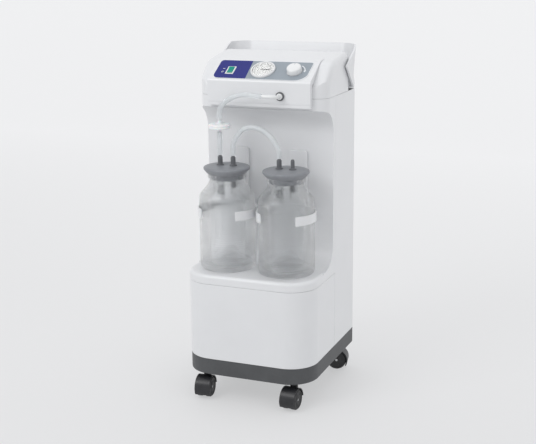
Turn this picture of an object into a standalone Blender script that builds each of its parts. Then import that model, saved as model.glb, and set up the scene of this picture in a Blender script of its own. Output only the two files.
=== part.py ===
"""Mobile suction pump: a cabinet on four casters with two glass collection jars.

Units are metres, +Z is up, the front faces -Y and the floor is Z = 0.
"""
import math

import bmesh
import bpy
from mathutils import Matrix, Vector

# ---- cabinet ----
BODY_WIDTH = 0.330
BODY_FRONT_Y = -0.176
BODY_REAR_Y = 0.176
BODY_FRONT_RADIUS = 0.070
BODY_REAR_RADIUS = 0.012
SKIN = 0.003
GAP = 0.0003
FRAME_SHIFT_Y = -0.0052          # brings the middle of the whole pump to Y = 0
SEAM_Y = 0.018                   # front mouldings meet the rear shell here
BASE_BOTTOM = 0.066
BASE_TOP = 0.106
BASE_WALL = 0.005
SHELF_SEAM_Z = 0.297
SHELF_TOP_Z = 0.320
SHELF_EDGE_RADIUS = 0.009
COLUMN_FRONT_Y = 0.003
COLUMN_EDGE_RADIUS = 0.016
COVE_RADIUS = 0.060
HEAD_BOTTOM_Z = 0.7085
HEAD_SEAM_Z = 0.737
HEAD_FRONT_Y = -0.053
HEAD_CORNER_RADIUS = 0.034       # of the two upright front corners, in plan

# ---- head cover, fascia and handle ----
COVER_BEND_Z = 0.765
COVER_SHOULDER_Y = 0.000
COVER_SHOULDER_Z = 0.8145
COVER_REAR_Y = 0.126
COVER_TOP_Z = 0.832
COVER_EDGE_RADIUS = 0.016
FASCIA_HALF_WIDTH = 0.131
FASCIA_FRONT_Y = -0.068
FASCIA_BOTTOM_Z = 0.7155
FASCIA_BEND_Z = 0.7775
FASCIA_TILT = math.radians(30)
FASCIA_SHOULDER_Y = 0.004
FASCIA_END_Y = 0.030
FASCIA_SKIN = 0.0025
HANDLE_HALF_WIDTH = 0.173
HANDLE_WALL = 0.0045
HANDLE_CORNER = 0.055
HANDLE_BOTTOM_Z = 0.7420
HANDLE_TOP_Z = 0.846

# ---- jars and what goes on them ----
JAR_X = 0.0764
JAR_Y = -0.0856
JAR_RADIUS = 0.069
WELL_RADIUS = JAR_RADIUS + 0.0012
WELL_Z = SHELF_TOP_Z - 0.0005
JAR_BASE_Z = WELL_Z + GAP
JAR_WALL = 0.0038
JAR_SHOULDER_Z = 0.498
JAR_NECK_Z = 0.530
JAR_MOUTH_Z = 0.554
JAR_NECK_RADIUS = 0.0445
LID_RADIUS = 0.0563
LID_TOP_Z = 0.5730
NIPPLE_OFFSET = 0.017
NIPPLE_RADIUS = 0.0042
NIPPLE_TOP_Z = 0.597
NIPPLE_COLLAR_RADIUS = 0.0060
BARE_NIPPLE_RADIUS = 0.0047
DEFLECTOR_RADIUS = 0.0056        # dark foot of the inlet nipple, below the lid
DEFLECTOR_LOW_Z = 0.517
LID_PLUG_Z = 0.540
FLOAT_CAGE_TOP_Z = 0.5322
HOSE_RADIUS = 0.006
CLIP_BOTTOM_Z = 0.4500
CLIP_TOP_Z = 0.4725
CLIP_INNER = 0.0696
CLIP_OUTER = 0.0724
CLIP_OPEN_ANGLE = math.radians(38)
PLATE_HALF_WIDTH = 0.023
PLATE_THICKNESS = 0.0075

# ---- casters ----
CASTER_X = 0.115
CASTER_FRONT_Y = -0.139
CASTER_REAR_Y = 0.137
CASTER_TRAIL = 0.017
WHEEL_RADIUS = 0.0255
WHEEL_SIDES = 20
WHEEL_WIDTH = 0.0145
WHEEL_GAP = 0.0085
HOOD_RADIUS = 0.0290

# ---- control panel, placed on the tilted face ----
GAUGE_X = 0.000
GAUGE_Y = -0.034
GAUGE_RADIUS = 0.0305
KNOB_X = 0.080
KNOB_RADIUS = 0.0185
SWITCH_X = -0.082
SWITCH_Y = -0.038
SWITCH_WIDTH = 0.021
SWITCH_LENGTH = 0.029
PORT_X = 0.056
PORT_Z = 0.742
LABEL_THICKNESS = 0.0006

# ---- vacuum line: port to filter, filter to the left jar, left jar to the right jar ----
HOSE_SPACING = 0.013             # between the points of a bent hose
ELBOW_RADIUS = 0.0044
ELBOW_BEND = 0.014
ELBOW_REACH_Y = -0.0975
FILTER_X = -JAR_X - NIPPLE_OFFSET
FILTER_Z = 0.6665
FILTER_RADIUS = 0.0265
PORT_HOSE = [
    (0.0207, -0.0975, 0.7440), (0.012, -0.0976, 0.7445), (-0.004, -0.0975, 0.7460),
    (-0.022, -0.0970, 0.7465), (-0.041, -0.0958, 0.7440), (-0.058, -0.0938, 0.7370),
    (-0.0735, -0.0908, 0.7280), (-0.0865, -0.0878, 0.7160), (-0.0930, -0.0858, 0.7020),
    (-0.0934, -0.0856, 0.6835),
]
JAR_LINK_HOSE = [
    (-0.0594, -0.0856, 0.5973), (-0.0594, -0.0856, 0.6120), (-0.0575, -0.0853, 0.6270),
    (-0.0510, -0.0845, 0.6420), (-0.0385, -0.0835, 0.6580), (-0.0200, -0.0828, 0.6665),
    (0.0000, -0.0826, 0.6670), (0.0200, -0.0828, 0.6600), (0.0380, -0.0835, 0.6460),
    (0.0510, -0.0845, 0.6290), (0.0588, -0.0855, 0.6120), (0.0594, -0.0856, 0.5973),
]

# ---- drive inside the cabinet ----
MOTOR_Y = 0.085
MOTOR_Z = 0.155
MOTOR_RADIUS = 0.036
PLATE_TOP = 0.1145

WHITE = (0.82, 0.83, 0.84)
PARTS = "suction_pump"
CUTTERS = "cutters"


def clear_scene():
    for obj in list(bpy.data.objects):
        bpy.data.objects.remove(obj, do_unlink=True)


def make_collection(name):
    group = bpy.data.collections.get(name) or bpy.data.collections.new(name)
    if name not in bpy.context.scene.collection.children:
        bpy.context.scene.collection.children.link(group)
    return group


def material(name, colour, roughness, metallic=0.0, alpha=1.0):
    found = bpy.data.materials.get(name)
    if found:
        return found
    made = bpy.data.materials.new(name)
    made.use_nodes = True
    shader = made.node_tree.nodes["Principled BSDF"]
    shader.inputs["Base Color"].default_value = (*colour, 1.0)
    shader.inputs["Roughness"].default_value = roughness
    shader.inputs["Metallic"].default_value = metallic
    shader.inputs["Alpha"].default_value = alpha
    return made


def shell_white():
    return material("shell_white", WHITE, 0.35)


def dark_grey():
    return material("base_grey", (0.13, 0.135, 0.145), 0.5)


def black_nylon():
    return material("black_nylon", (0.02, 0.02, 0.022), 0.4)


def steel():
    return material("steel", (0.6, 0.61, 0.62), 0.3, 1.0)


def clear_plastic():
    return material("clear_plastic", (0.85, 0.88, 0.9), 0.15, 0.0, 0.4)


def place(obj, finish, group=PARTS):
    for owner in list(obj.users_collection):
        owner.objects.unlink(obj)
    make_collection(group).objects.link(obj)
    if group == CUTTERS:
        obj.hide_render = True
        obj.display_type = "WIRE"
    elif finish:
        obj.data.materials.clear()
        obj.data.materials.append(finish)
    return obj


def arc(centre, radius, start, end, steps):
    """Points on an arc, angles in degrees, both ends included."""
    points = []
    for i in range(steps + 1):
        angle = math.radians(start + (end - start) * i / steps)
        points.append((centre[0] + radius * math.cos(angle), centre[1] + radius * math.sin(angle)))
    return points


def to_mesh(curve_obj, name):
    """Turns a curve object into a closed mesh object with the same placement."""
    bpy.context.view_layer.update()
    evaluated = curve_obj.evaluated_get(bpy.context.evaluated_depsgraph_get())
    mesh = bpy.data.meshes.new_from_object(evaluated)
    matrix = curve_obj.matrix_world.copy()
    bpy.data.objects.remove(curve_obj, do_unlink=True)
    mesh.transform(matrix)
    shape = bmesh.new()
    shape.from_mesh(mesh)
    bmesh.ops.remove_doubles(shape, verts=shape.verts, dist=1e-6)
    bmesh.ops.recalc_face_normals(shape, faces=shape.faces)
    shape.to_mesh(mesh)
    shape.free()
    return bpy.data.objects.new(name, mesh)


AXES = {
    "Z": Matrix(((1, 0, 0, 0), (0, 1, 0, 0), (0, 0, 1, 0), (0, 0, 0, 1))),
    "X": Matrix(((0, 0, 1, 0), (1, 0, 0, 0), (0, 1, 0, 0), (0, 0, 0, 1))),
    "Y": Matrix(((1, 0, 0, 0), (0, 0, -1, 0), (0, 1, 0, 0), (0, 0, 0, 1))),
}


def prism(name, outline, low, high, finish, axis="Z", group=PARTS):
    """Extrudes a flat outline from low to high; it lies in XY, in YZ for axis X, in XZ for Y."""
    curve = bpy.data.curves.new(name, "CURVE")
    curve.dimensions = "2D"
    curve.fill_mode = "BOTH"
    curve.extrude = (high - low) / 2
    spline = curve.splines.new("POLY")
    spline.points.add(len(outline) - 1)
    for point, (u, v) in zip(spline.points, outline):
        point.co = (u, v, 0, 1)
    spline.use_cyclic_u = True
    obj = bpy.data.objects.new(name, curve)
    bpy.context.scene.collection.objects.link(obj)
    middle = (low + high) / 2
    if axis == "Y":
        middle = -middle
    obj.matrix_world = AXES[axis] @ Matrix.Translation((0, 0, middle))
    return place(to_mesh(obj, name), finish, group)


def box(name, low, high, finish, group=PARTS):
    shape = bmesh.new()
    bmesh.ops.create_cube(shape, size=1)
    size = Vector(high) - Vector(low)
    centre = (Vector(high) + Vector(low)) / 2
    bmesh.ops.scale(shape, vec=size, verts=shape.verts)
    bmesh.ops.translate(shape, vec=centre, verts=shape.verts)
    mesh = bpy.data.meshes.new(name)
    shape.to_mesh(mesh)
    shape.free()
    return place(bpy.data.objects.new(name, mesh), finish, group)


def rod(name, radius, low, high, centre, finish, axis="Z", sides=16, group=PARTS):
    """A plain round bar along an axis; centre holds the other two coordinates in order."""
    shape = bmesh.new()
    depth = high - low
    bmesh.ops.create_cone(shape, cap_ends=True, segments=sides, radius1=radius, radius2=radius, depth=depth)
    bmesh.ops.translate(shape, vec=(centre[0], centre[1], 0), verts=shape.verts)
    middle = (low + high) / 2
    if axis == "Y":
        middle = -middle
    bmesh.ops.translate(shape, vec=(0, 0, middle), verts=shape.verts)
    bmesh.ops.transform(shape, matrix=AXES[axis], verts=shape.verts)
    mesh = bpy.data.meshes.new(name)
    shape.to_mesh(mesh)
    shape.free()
    return place(bpy.data.objects.new(name, mesh), finish, group)


def turned(name, profile, steps, finish, closed=False, group=PARTS):
    """A turned shape about Z from (radius, height) points, listed from the top down the outside."""
    mesh = bpy.data.meshes.new(name)
    count = len(profile)
    edges = [(i, i + 1) for i in range(count - 1)]
    if closed:
        edges.append((count - 1, 0))
    mesh.from_pydata([(radius, 0, height) for radius, height in profile], edges, [])
    obj = bpy.data.objects.new(name, mesh)
    screw = obj.modifiers.new("turn", "SCREW")
    screw.steps = steps
    screw.render_steps = steps
    screw.use_merge_vertices = True
    screw.merge_threshold = 1e-5
    return place(obj, finish, group)


def bake(obj):
    """Applies an object's modifiers to its mesh."""
    bpy.context.view_layer.update()
    evaluated = obj.evaluated_get(bpy.context.evaluated_depsgraph_get())
    mesh = bpy.data.meshes.new_from_object(evaluated)
    obj.modifiers.clear()
    obj.data = mesh
    return obj


def boolean(obj, other, operation):
    modifier = obj.modifiers.new(operation.lower(), "BOOLEAN")
    modifier.operation = operation
    modifier.solver = "EXACT"
    modifier.object = other
    return obj


def cut(obj, *tools):
    for tool in tools:
        boolean(obj, tool, "DIFFERENCE")
    return obj


def join(obj, *others):
    for other in others:
        boolean(obj, other, "UNION")
    return obj


def round_edges(obj, width, segments, picks):
    """Bevels the edges whose two ends and direction pass the given test."""
    mesh = obj.data
    layer = mesh.attributes.new("bevel_weight_edge", "FLOAT", "EDGE")
    for edge in mesh.edges:
        start, end = (mesh.vertices[v].co for v in edge.vertices)
        layer.data[edge.index].value = picks(start, end)
    bevel = obj.modifiers.new("rounding", "BEVEL")
    bevel.limit_method = "WEIGHT"
    bevel.width = width
    bevel.segments = segments
    return obj


# ---- outlines ----
def body_outline(inset=0.0, steps=6):
    """Plan of the cabinet, anticlockwise from its rear right corner."""
    half = BODY_WIDTH / 2 - inset
    front = BODY_FRONT_Y + inset
    rear = BODY_REAR_Y - inset
    large = BODY_FRONT_RADIUS - inset
    small = max(BODY_REAR_RADIUS - inset, 0.004)
    points = arc((half - small, rear - small), small, 0, 90, 3)
    points += arc((-half + small, rear - small), small, 90, 180, 3)
    points += arc((-half + large, front + large), large, 180, 270, steps)
    points += arc((half - large, front + large), large, 270, 360, steps)
    return points


def front_wall_outline(rear_y, steps=6):
    """Plan of a U-shaped front skin that ends at rear_y."""
    half = BODY_WIDTH / 2
    large = BODY_FRONT_RADIUS
    outer = [(-half, rear_y)] + arc((-half + large, BODY_FRONT_Y + large), large, 180, 270, steps)
    outer += arc((half - large, BODY_FRONT_Y + large), large, 270, 360, steps) + [(half, rear_y)]
    inner_radius = large - SKIN
    inner = [(-half + SKIN, rear_y)]
    inner += arc((-half + large, BODY_FRONT_Y + large), inner_radius, 180, 270, steps)
    inner += arc((half - large, BODY_FRONT_Y + large), inner_radius, 270, 360, steps)
    inner += [(half - SKIN, rear_y)]
    return outer + inner[::-1]


def rear_wall_outline(front_y):
    """Plan of the U-shaped rear skin that starts at front_y."""
    half = BODY_WIDTH / 2
    small = BODY_REAR_RADIUS
    outer = [(half, front_y)] + arc((half - small, BODY_REAR_Y - small), small, 0, 90, 4)
    outer += arc((-half + small, BODY_REAR_Y - small), small, 90, 180, 4) + [(-half, front_y)]
    inner = [(half - SKIN, front_y)]
    inner += arc((half - small, BODY_REAR_Y - small), small - SKIN, 0, 90, 4)
    inner += arc((-half + small, BODY_REAR_Y - small), small - SKIN, 90, 180, 4)
    inner += [(-half + SKIN, front_y)]
    return outer + inner[::-1]


def column_profile(inset, front_stop, rear_stop, bottom, top):
    """Side view of the column with a cove at its foot and one under the head, as (Y, Z)."""
    foot_centre = (COLUMN_FRONT_Y - COVE_RADIUS, SHELF_TOP_Z - 0.001 + COVE_RADIUS)
    head_centre = (COLUMN_FRONT_Y - COVE_RADIUS, HEAD_BOTTOM_Z - COVE_RADIUS)
    radius = COVE_RADIUS + inset
    points = [(rear_stop, bottom)]
    foot = arc(foot_centre, radius, -100, 0, 7)
    points += [(foot[0][0], bottom)] + foot
    points += arc(head_centre, radius, 0, 87, 6)
    points += [(front_stop, HEAD_BOTTOM_Z + inset), (front_stop, top), (rear_stop, top)]
    return points


def corner_tools(name, inset):
    """Upright cutters that round the head's two front corners in plan."""
    reach = 0.01
    right = BODY_WIDTH / 2 + reach
    front = HEAD_FRONT_Y - reach
    centre = (BODY_WIDTH / 2 - HEAD_CORNER_RADIUS, HEAD_FRONT_Y + HEAD_CORNER_RADIUS)
    outline = arc(centre, HEAD_CORNER_RADIUS - inset, -90, 0, 6)
    outline += [(right, centre[1]), (right, front), (centre[0], front)]
    tools = []
    for sign in (-1, 1):
        plan = [(sign * x, y) for x, y in outline]
        tools.append(prism(f"{name}_{sign}", plan, 0.64, 0.90, None, group=CUTTERS))
    return tools


# ---- cabinet ----
def make_base_tray():
    tray = prism("base_tray", body_outline(), BASE_BOTTOM, BASE_TOP, dark_grey())
    pocket = prism("base_pocket", body_outline(BASE_WALL), BASE_BOTTOM + 0.006, BASE_TOP + 0.01, None,
                   group=CUTTERS)
    cut(tray, pocket)
    for index, (x, y) in enumerate(caster_places()):
        hole = rod(f"stem_hole_{index}", 0.0058, BASE_BOTTOM - 0.01, BASE_BOTTOM + 0.02, (x, y), None,
                   group=CUTTERS)
        cut(tray, hole)
    return tray


def make_front_cover():
    outline = front_wall_outline(SEAM_Y - GAP)
    return prism("lower_front_cover", outline, BASE_TOP + GAP, SHELF_SEAM_Z - GAP, shell_white())


def make_bay_shell():
    """Shelf, column and head soffit in one front moulding, open behind."""
    half = BODY_WIDTH / 2
    rear = SEAM_Y - GAP
    shelf_outline = [p for p in body_outline() if p[1] < rear]
    shelf_outline += [(half, rear), (-half, rear)]
    shelf = prism("bay_shell", shelf_outline, SHELF_SEAM_Z, SHELF_TOP_Z, shell_white())

    def top_edge(start, end):
        at_top = min(start.z, end.z) > SHELF_TOP_Z - 1e-4
        at_rear = min(start.y, end.y) > rear - 1e-4
        return 1.0 if at_top and not at_rear else 0.0
    round_edges(shelf, SHELF_EDGE_RADIUS, 2, top_edge)

    profile = column_profile(0.0, HEAD_FRONT_Y, rear, SHELF_SEAM_Z + 0.005, HEAD_SEAM_Z)
    column = prism("bay_column", profile, -half + 1e-4, half - 1e-4, None, "X", CUTTERS)

    def side_edge(start, end):
        on_side = abs(start.x - end.x) < 1e-6
        in_front = min(start.y, end.y) < rear - 0.001
        inside = max(start.z, end.z) < SHELF_TOP_Z - 0.003
        at_top = min(start.z, end.z) > HEAD_SEAM_Z - 1e-4
        return 1.0 if on_side and in_front and not inside and not at_top else 0.0
    round_edges(column, COLUMN_EDGE_RADIUS, 2, side_edge)
    wells = [rod(f"jar_well_{i}", WELL_RADIUS, WELL_Z, 0.42, (x, JAR_Y), None, sides=36, group=CUTTERS)
             for i, x in enumerate((-JAR_X, JAR_X))]
    join(shelf, column)
    cut(shelf, *wells, *corner_tools("bay_corner", 0.0))

    hollow = [p for p in body_outline(SKIN) if p[1] < rear] + [(half - SKIN, 0.1), (-half + SKIN, 0.1)]
    shelf_hollow = prism("shelf_hollow", hollow, SHELF_SEAM_Z - 0.02, SHELF_TOP_Z - SKIN, None, group=CUTTERS)
    inner = column_profile(SKIN, HEAD_FRONT_Y + SKIN, 0.1, SHELF_SEAM_Z - 0.01, HEAD_SEAM_Z + 0.02)
    inner_half = half - COLUMN_EDGE_RADIUS * 0.4
    column_hollow = prism("column_hollow", inner, -inner_half, inner_half, None, "X", CUTTERS)
    cut(column_hollow, *corner_tools("bay_hollow_corner", SKIN))
    for i, x in enumerate((-JAR_X, JAR_X)):
        skin_tool = rod(f"well_skin_{i}", WELL_RADIUS + SKIN, 0.29, 0.44, (x, JAR_Y), None, sides=36,
                        group=CUTTERS)
        cut(column_hollow, skin_tool)
    cut(shelf, shelf_hollow, column_hollow)
    return shelf


def make_rear_shell():
    outline = rear_wall_outline(SEAM_Y + GAP)
    shell = prism("rear_shell", outline, BASE_TOP + GAP, HEAD_SEAM_Z - GAP, shell_white())
    vent = box("vent_opening", (-0.07, 0.16, 0.150), (0.07, 0.19, 0.250), None, CUTTERS)
    inlet = box("inlet_opening", (0.085, 0.16, 0.150), (0.125, 0.19, 0.185), None, CUTTERS)
    return cut(shell, vent, inlet)


def cover_profile(inset, bottom):
    """Side view of the head cover as (Y, Z)."""
    front = HEAD_FRONT_Y + inset
    rear = COVER_REAR_Y - inset
    bend = 0.02 - inset
    corner = 0.016 - inset
    slope = math.degrees(math.atan2(COVER_SHOULDER_Z - COVER_BEND_Z, COVER_SHOULDER_Y - HEAD_FRONT_Y))
    points = [(front, bottom)]
    points += arc((front + bend, COVER_BEND_Z - 0.008), bend, 180, 180 - slope, 3)
    points += [(COVER_SHOULDER_Y + inset * 0.6, COVER_SHOULDER_Z - inset)]
    points += [(COVER_SHOULDER_Y + 0.008 + inset * 0.3, COVER_SHOULDER_Z + 0.0035 - inset)]
    points += arc((rear - corner, COVER_TOP_Z - inset - corner), corner, 98, 0, 4)
    points += [(rear, bottom)]
    return points


def make_top_cover():
    half = BODY_WIDTH / 2
    bottom = HEAD_SEAM_Z + GAP
    cover = prism("top_cover", cover_profile(0.0, bottom), -half, half, shell_white(), "X")

    def side_edge(start, end):
        on_side = abs(start.x - end.x) < 1e-6
        at_bottom = max(start.z, end.z) < bottom + 1e-4
        return 1.0 if on_side and not at_bottom else 0.0
    round_edges(cover, COVER_EDGE_RADIUS, 3, side_edge)
    inner_half = half - 0.0065
    inner = cover_profile(SKIN, bottom - 0.02)
    hollow = prism("cover_hollow", inner, -inner_half, inner_half, None, "X", CUTTERS)
    cut(hollow, *corner_tools("cover_hollow_corner", SKIN))
    window_half = FASCIA_HALF_WIDTH + GAP
    window = box("cover_window", (-window_half, -0.048, 0.75), (window_half, FASCIA_END_Y + GAP, 0.9), None,
                 CUTTERS)
    return cut(cover, hollow, window, *corner_tools("cover_corner", 0.0))


def fascia_face_z(y):
    """Height of the fascia's outer face above a given Y."""
    shoulder_z = FASCIA_BEND_Z + math.tan(FASCIA_TILT) * (FASCIA_SHOULDER_Y - FASCIA_FRONT_Y)
    if y > FASCIA_SHOULDER_Y:
        return shoulder_z + 0.12 * (y - FASCIA_SHOULDER_Y)
    return FASCIA_BEND_Z + math.tan(FASCIA_TILT) * (y - FASCIA_FRONT_Y)


def fascia_outer():
    """Front face, bend and tilted panel as (Y, Z), from the bottom up."""
    bend = 0.010
    reach = bend * math.tan(math.radians(30))
    points = [(FASCIA_FRONT_Y, FASCIA_BOTTOM_Z)]
    points += arc((FASCIA_FRONT_Y + bend, FASCIA_BEND_Z - reach), bend, 180, 120, 4)
    points += [(FASCIA_SHOULDER_Y, fascia_face_z(FASCIA_SHOULDER_Y))]
    points += [(FASCIA_END_Y, fascia_face_z(FASCIA_END_Y))]
    return points


def make_fascia():
    back = HEAD_FRONT_Y - GAP
    outline = fascia_outer()
    outline += [(FASCIA_END_Y, fascia_face_z(FASCIA_END_Y) - 0.008)]
    outline += [(FASCIA_SHOULDER_Y, fascia_face_z(FASCIA_SHOULDER_Y) - 0.009)]
    outline += [(FASCIA_SHOULDER_Y, 0.8040), (-0.0474, 0.7660), (-0.0474, 0.7720), (back, 0.7700)]
    outline += [(back, FASCIA_BOTTOM_Z)]
    half = FASCIA_HALF_WIDTH
    fascia = prism("control_fascia", outline, -half, half, shell_white(), "X")

    def corner(start, end):
        on_side = abs(start.x - end.x) < 1e-6
        front = max(start.y, end.y) < FASCIA_FRONT_Y + 1e-5
        return 1.0 if on_side and front else 0.0
    round_edges(fascia, 0.014, 5, corner)
    skin = FASCIA_SKIN
    front = FASCIA_FRONT_Y + skin
    inner = [(front, FASCIA_BOTTOM_Z + skin), (front, FASCIA_BEND_Z - 0.004)]
    inner += [(FASCIA_SHOULDER_Y, fascia_face_z(FASCIA_SHOULDER_Y) - skin * 1.2)]
    inner += [(FASCIA_END_Y - skin, fascia_face_z(FASCIA_END_Y - skin) - skin * 1.2)]
    inner += [(FASCIA_END_Y - skin, 0.78), (back + 0.02, 0.70), (back + 0.02, FASCIA_BOTTOM_Z + skin)]
    inner_half = half - 0.006
    hollow = prism("fascia_hollow", inner, -inner_half, inner_half, None, "X", CUTTERS)
    cut(fascia, hollow)
    for name, place_x, size in (("gauge", GAUGE_X, GAUGE_RADIUS - 0.004), ("knob", KNOB_X, 0.0055)):
        hole = panel_rod(f"{name}_hole", size, -0.02, 0.02, place_x, GAUGE_Y, None, CUTTERS, 20)
        cut(fascia, hole)
    slot = panel_box("switch_hole", (SWITCH_WIDTH / 2 - 0.001, SWITCH_LENGTH / 2 - 0.001), -0.02, 0.02,
                     SWITCH_X, SWITCH_Y, None, CUTTERS)
    port = rod("port_hole", 0.0062, FASCIA_FRONT_Y - 0.01, FASCIA_FRONT_Y + 0.01, (PORT_X, PORT_Z), None, "Y",
               group=CUTTERS)
    return cut(fascia, slot, port)


# ---- control panel, in the tilted plane of the fascia ----
def panel_matrix(x, y):
    """Frame on the tilted face: X across, Y up the slope, Z out of the panel."""
    return Matrix.Translation((x, y, fascia_face_z(y))) @ Matrix.Rotation(FASCIA_TILT, 4, "X")


def set_on_panel(obj, x, y):
    obj.matrix_world = panel_matrix(x, y)
    return obj


def panel_rod(name, radius, low, high, x, y, finish, group=PARTS, sides=24):
    return set_on_panel(rod(name, radius, low, high, (0, 0), finish, sides=sides, group=group), x, y)


def panel_box(name, half, low, high, x, y, finish, group=PARTS):
    obj = box(name, (-half[0], -half[1], low), (half[0], half[1], high), finish, group)
    return set_on_panel(obj, x, y)


def label_outline():
    left, right, bottom, top = -0.121, 0.118, -0.036, 0.037
    points = arc((left + 0.014, bottom + 0.014), 0.014, 180, 270, 4)
    points += arc((right - 0.030, bottom + 0.030), 0.030, 270, 345, 5)
    points += arc((right - 0.004, top - 0.004), 0.004, 0, 90, 2)
    points += arc((left + 0.008, top - 0.008), 0.008, 90, 180, 3)
    return points


def make_panel():
    blue = material("label_film", (0.03, 0.04, 0.30), 0.3)
    label = prism("panel_label", label_outline(), GAP, GAP + LABEL_THICKNESS, blue)
    set_on_panel(label, 0.0, GAUGE_Y)
    openings = (("label_gauge", GAUGE_X, GAUGE_Y, GAUGE_RADIUS + GAP),
                ("label_knob", KNOB_X, GAUGE_Y, KNOB_RADIUS + 0.001))
    for name, x, y, radius in openings:
        cut(label, panel_rod(name, radius, -0.01, 0.01, x, y, None, CUTTERS, 24))
    cut(label, panel_box("label_switch", (SWITCH_WIDTH / 2 + GAP, SWITCH_LENGTH / 2 + GAP), -0.01, 0.01,
                         SWITCH_X, SWITCH_Y, None, CUTTERS))
    make_switch()
    make_gauge()
    make_regulator()


def make_switch():
    white = material("switch_white", (0.8, 0.82, 0.82), 0.4)
    green = material("rocker_green", (0.0, 0.35, 0.22), 0.25)
    half = (SWITCH_WIDTH / 2, SWITCH_LENGTH / 2)
    housing = panel_box("switch_housing", half, GAP, 0.0022, SWITCH_X, SWITCH_Y, white)
    inset = (half[0] - 0.0015, half[1] - 0.0015)
    body = panel_box("switch_body", inset, -0.018, 0.001, SWITCH_X, SWITCH_Y, None, CUTTERS)
    join(housing, body)
    inset = (half[0] - 0.003, half[1] - 0.003)
    cavity = panel_box("switch_cavity", inset, -0.012, 0.01, SWITCH_X, SWITCH_Y, None, CUTTERS)
    cut(housing, cavity)
    reach = half[1] - 0.0038
    dip = 0.0022
    outline = [(-reach, -0.002), (reach, -0.002), (reach, 0.0045), (0.0, 0.0045 - dip), (-reach, 0.0032)]
    rocker = prism("switch_rocker", outline, -half[0] + 0.0035, half[0] - 0.0035, green, "X")
    set_on_panel(rocker, SWITCH_X, SWITCH_Y)


def make_gauge():
    white = material("gauge_white", (0.85, 0.85, 0.85), 0.3)
    r = GAUGE_RADIUS
    profile = [(0.0, 0.0008), (r - 0.0045, 0.0008), (r - 0.0045, 0.0042), (r - 0.0035, 0.006),
               (r - 0.0015, 0.006), (r, 0.0045), (r, GAP), (r - 0.006, GAP), (r - 0.006, -0.022),
               (0.0, -0.022)]
    case = turned("gauge_case", profile, 24, white)
    set_on_panel(case, GAUGE_X, GAUGE_Y)
    profile = [(0, 0.0020), (r - 0.0048, 0.0020), (r - 0.0048, 0.0011), (0, 0.0011)]
    dial = turned("gauge_dial", profile, 24, material("dial_white", (0.88, 0.88, 0.86), 0.5))
    set_on_panel(dial, GAUGE_X, GAUGE_Y)
    outline = [(-0.006, -0.0012), (0.002, -0.0014), (0.019, -0.0004), (0.019, 0.0004), (0.002, 0.0014),
               (-0.006, 0.0012)]
    black = material("needle_black", (0.01, 0.01, 0.01), 0.4)
    needle = prism("gauge_needle", outline, 0.0028, 0.0036, black)
    set_on_panel(needle, GAUGE_X, GAUGE_Y)
    profile = [(0, 0.0058), (r - 0.0050, 0.0054), (r - 0.0050, 0.0042), (0, 0.0046)]
    lens = turned("gauge_lens", profile, 24, clear_plastic())
    set_on_panel(lens, GAUGE_X, GAUGE_Y)


def make_regulator():
    white = material("knob_white", (0.83, 0.83, 0.82), 0.35)
    r = KNOB_RADIUS
    profile = [(0, 0.0150), (r - 0.004, 0.0145), (r - 0.0015, 0.0125), (r, 0.0020), (r, 0.0014),
               (0.0075, 0.0014), (0.0075, 0.0060), (0.0, 0.0060)]
    knob = turned("regulator_knob", profile, 20, white)
    set_on_panel(knob, KNOB_X, GAUGE_Y)
    valve = turned("regulator_valve",
                   [(0, 0.0055), (0.0050, 0.0055), (0.0050, -0.0040), (0.0110, -0.0040), (0.0110, -0.020),
                    (0.0, -0.020)], 14, material("brass", (0.6, 0.45, 0.2), 0.35, 1.0))
    set_on_panel(valve, KNOB_X, GAUGE_Y)


# ---- handle ----
def handle_rear_y(z):
    """Rear face of the handle band: a flared foot, a waist and a wide top."""
    t = (z - HANDLE_BOTTOM_Z) / (HANDLE_TOP_Z - HANDLE_BOTTOM_Z)
    flare = 0.009 * math.exp(-((t - 0.10) / 0.12) ** 2)
    top = 0.018 * max(0.0, (t - 0.30) / 0.70) ** 1.2
    return 0.1785 + flare + top


def handle_front_y(z):
    """Front end of each side arm, which points forward at mid height."""
    tip_z, tip_y = 0.8005, 0.078
    if z < tip_z:
        return tip_y + (0.137 - tip_y) * (tip_z - z) / (tip_z - HANDLE_BOTTOM_Z)
    return tip_y + (0.160 - tip_y) * (z - tip_z) / (HANDLE_TOP_Z - tip_z)


def handle_plan(z):
    """Right half of the band's outer face in plan, from the arm's front end round to the rear."""
    corner = HANDLE_CORNER
    front = handle_front_y(z)
    centre = (HANDLE_HALF_WIDTH - corner, handle_rear_y(z) - corner)
    if front < centre[1]:
        return [(HANDLE_HALF_WIDTH, front)] + arc(centre, corner, 0, 90, 5)
    start = math.degrees(math.asin((front - centre[1]) / corner))
    return arc(centre, corner, start, 90, 6)


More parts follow.
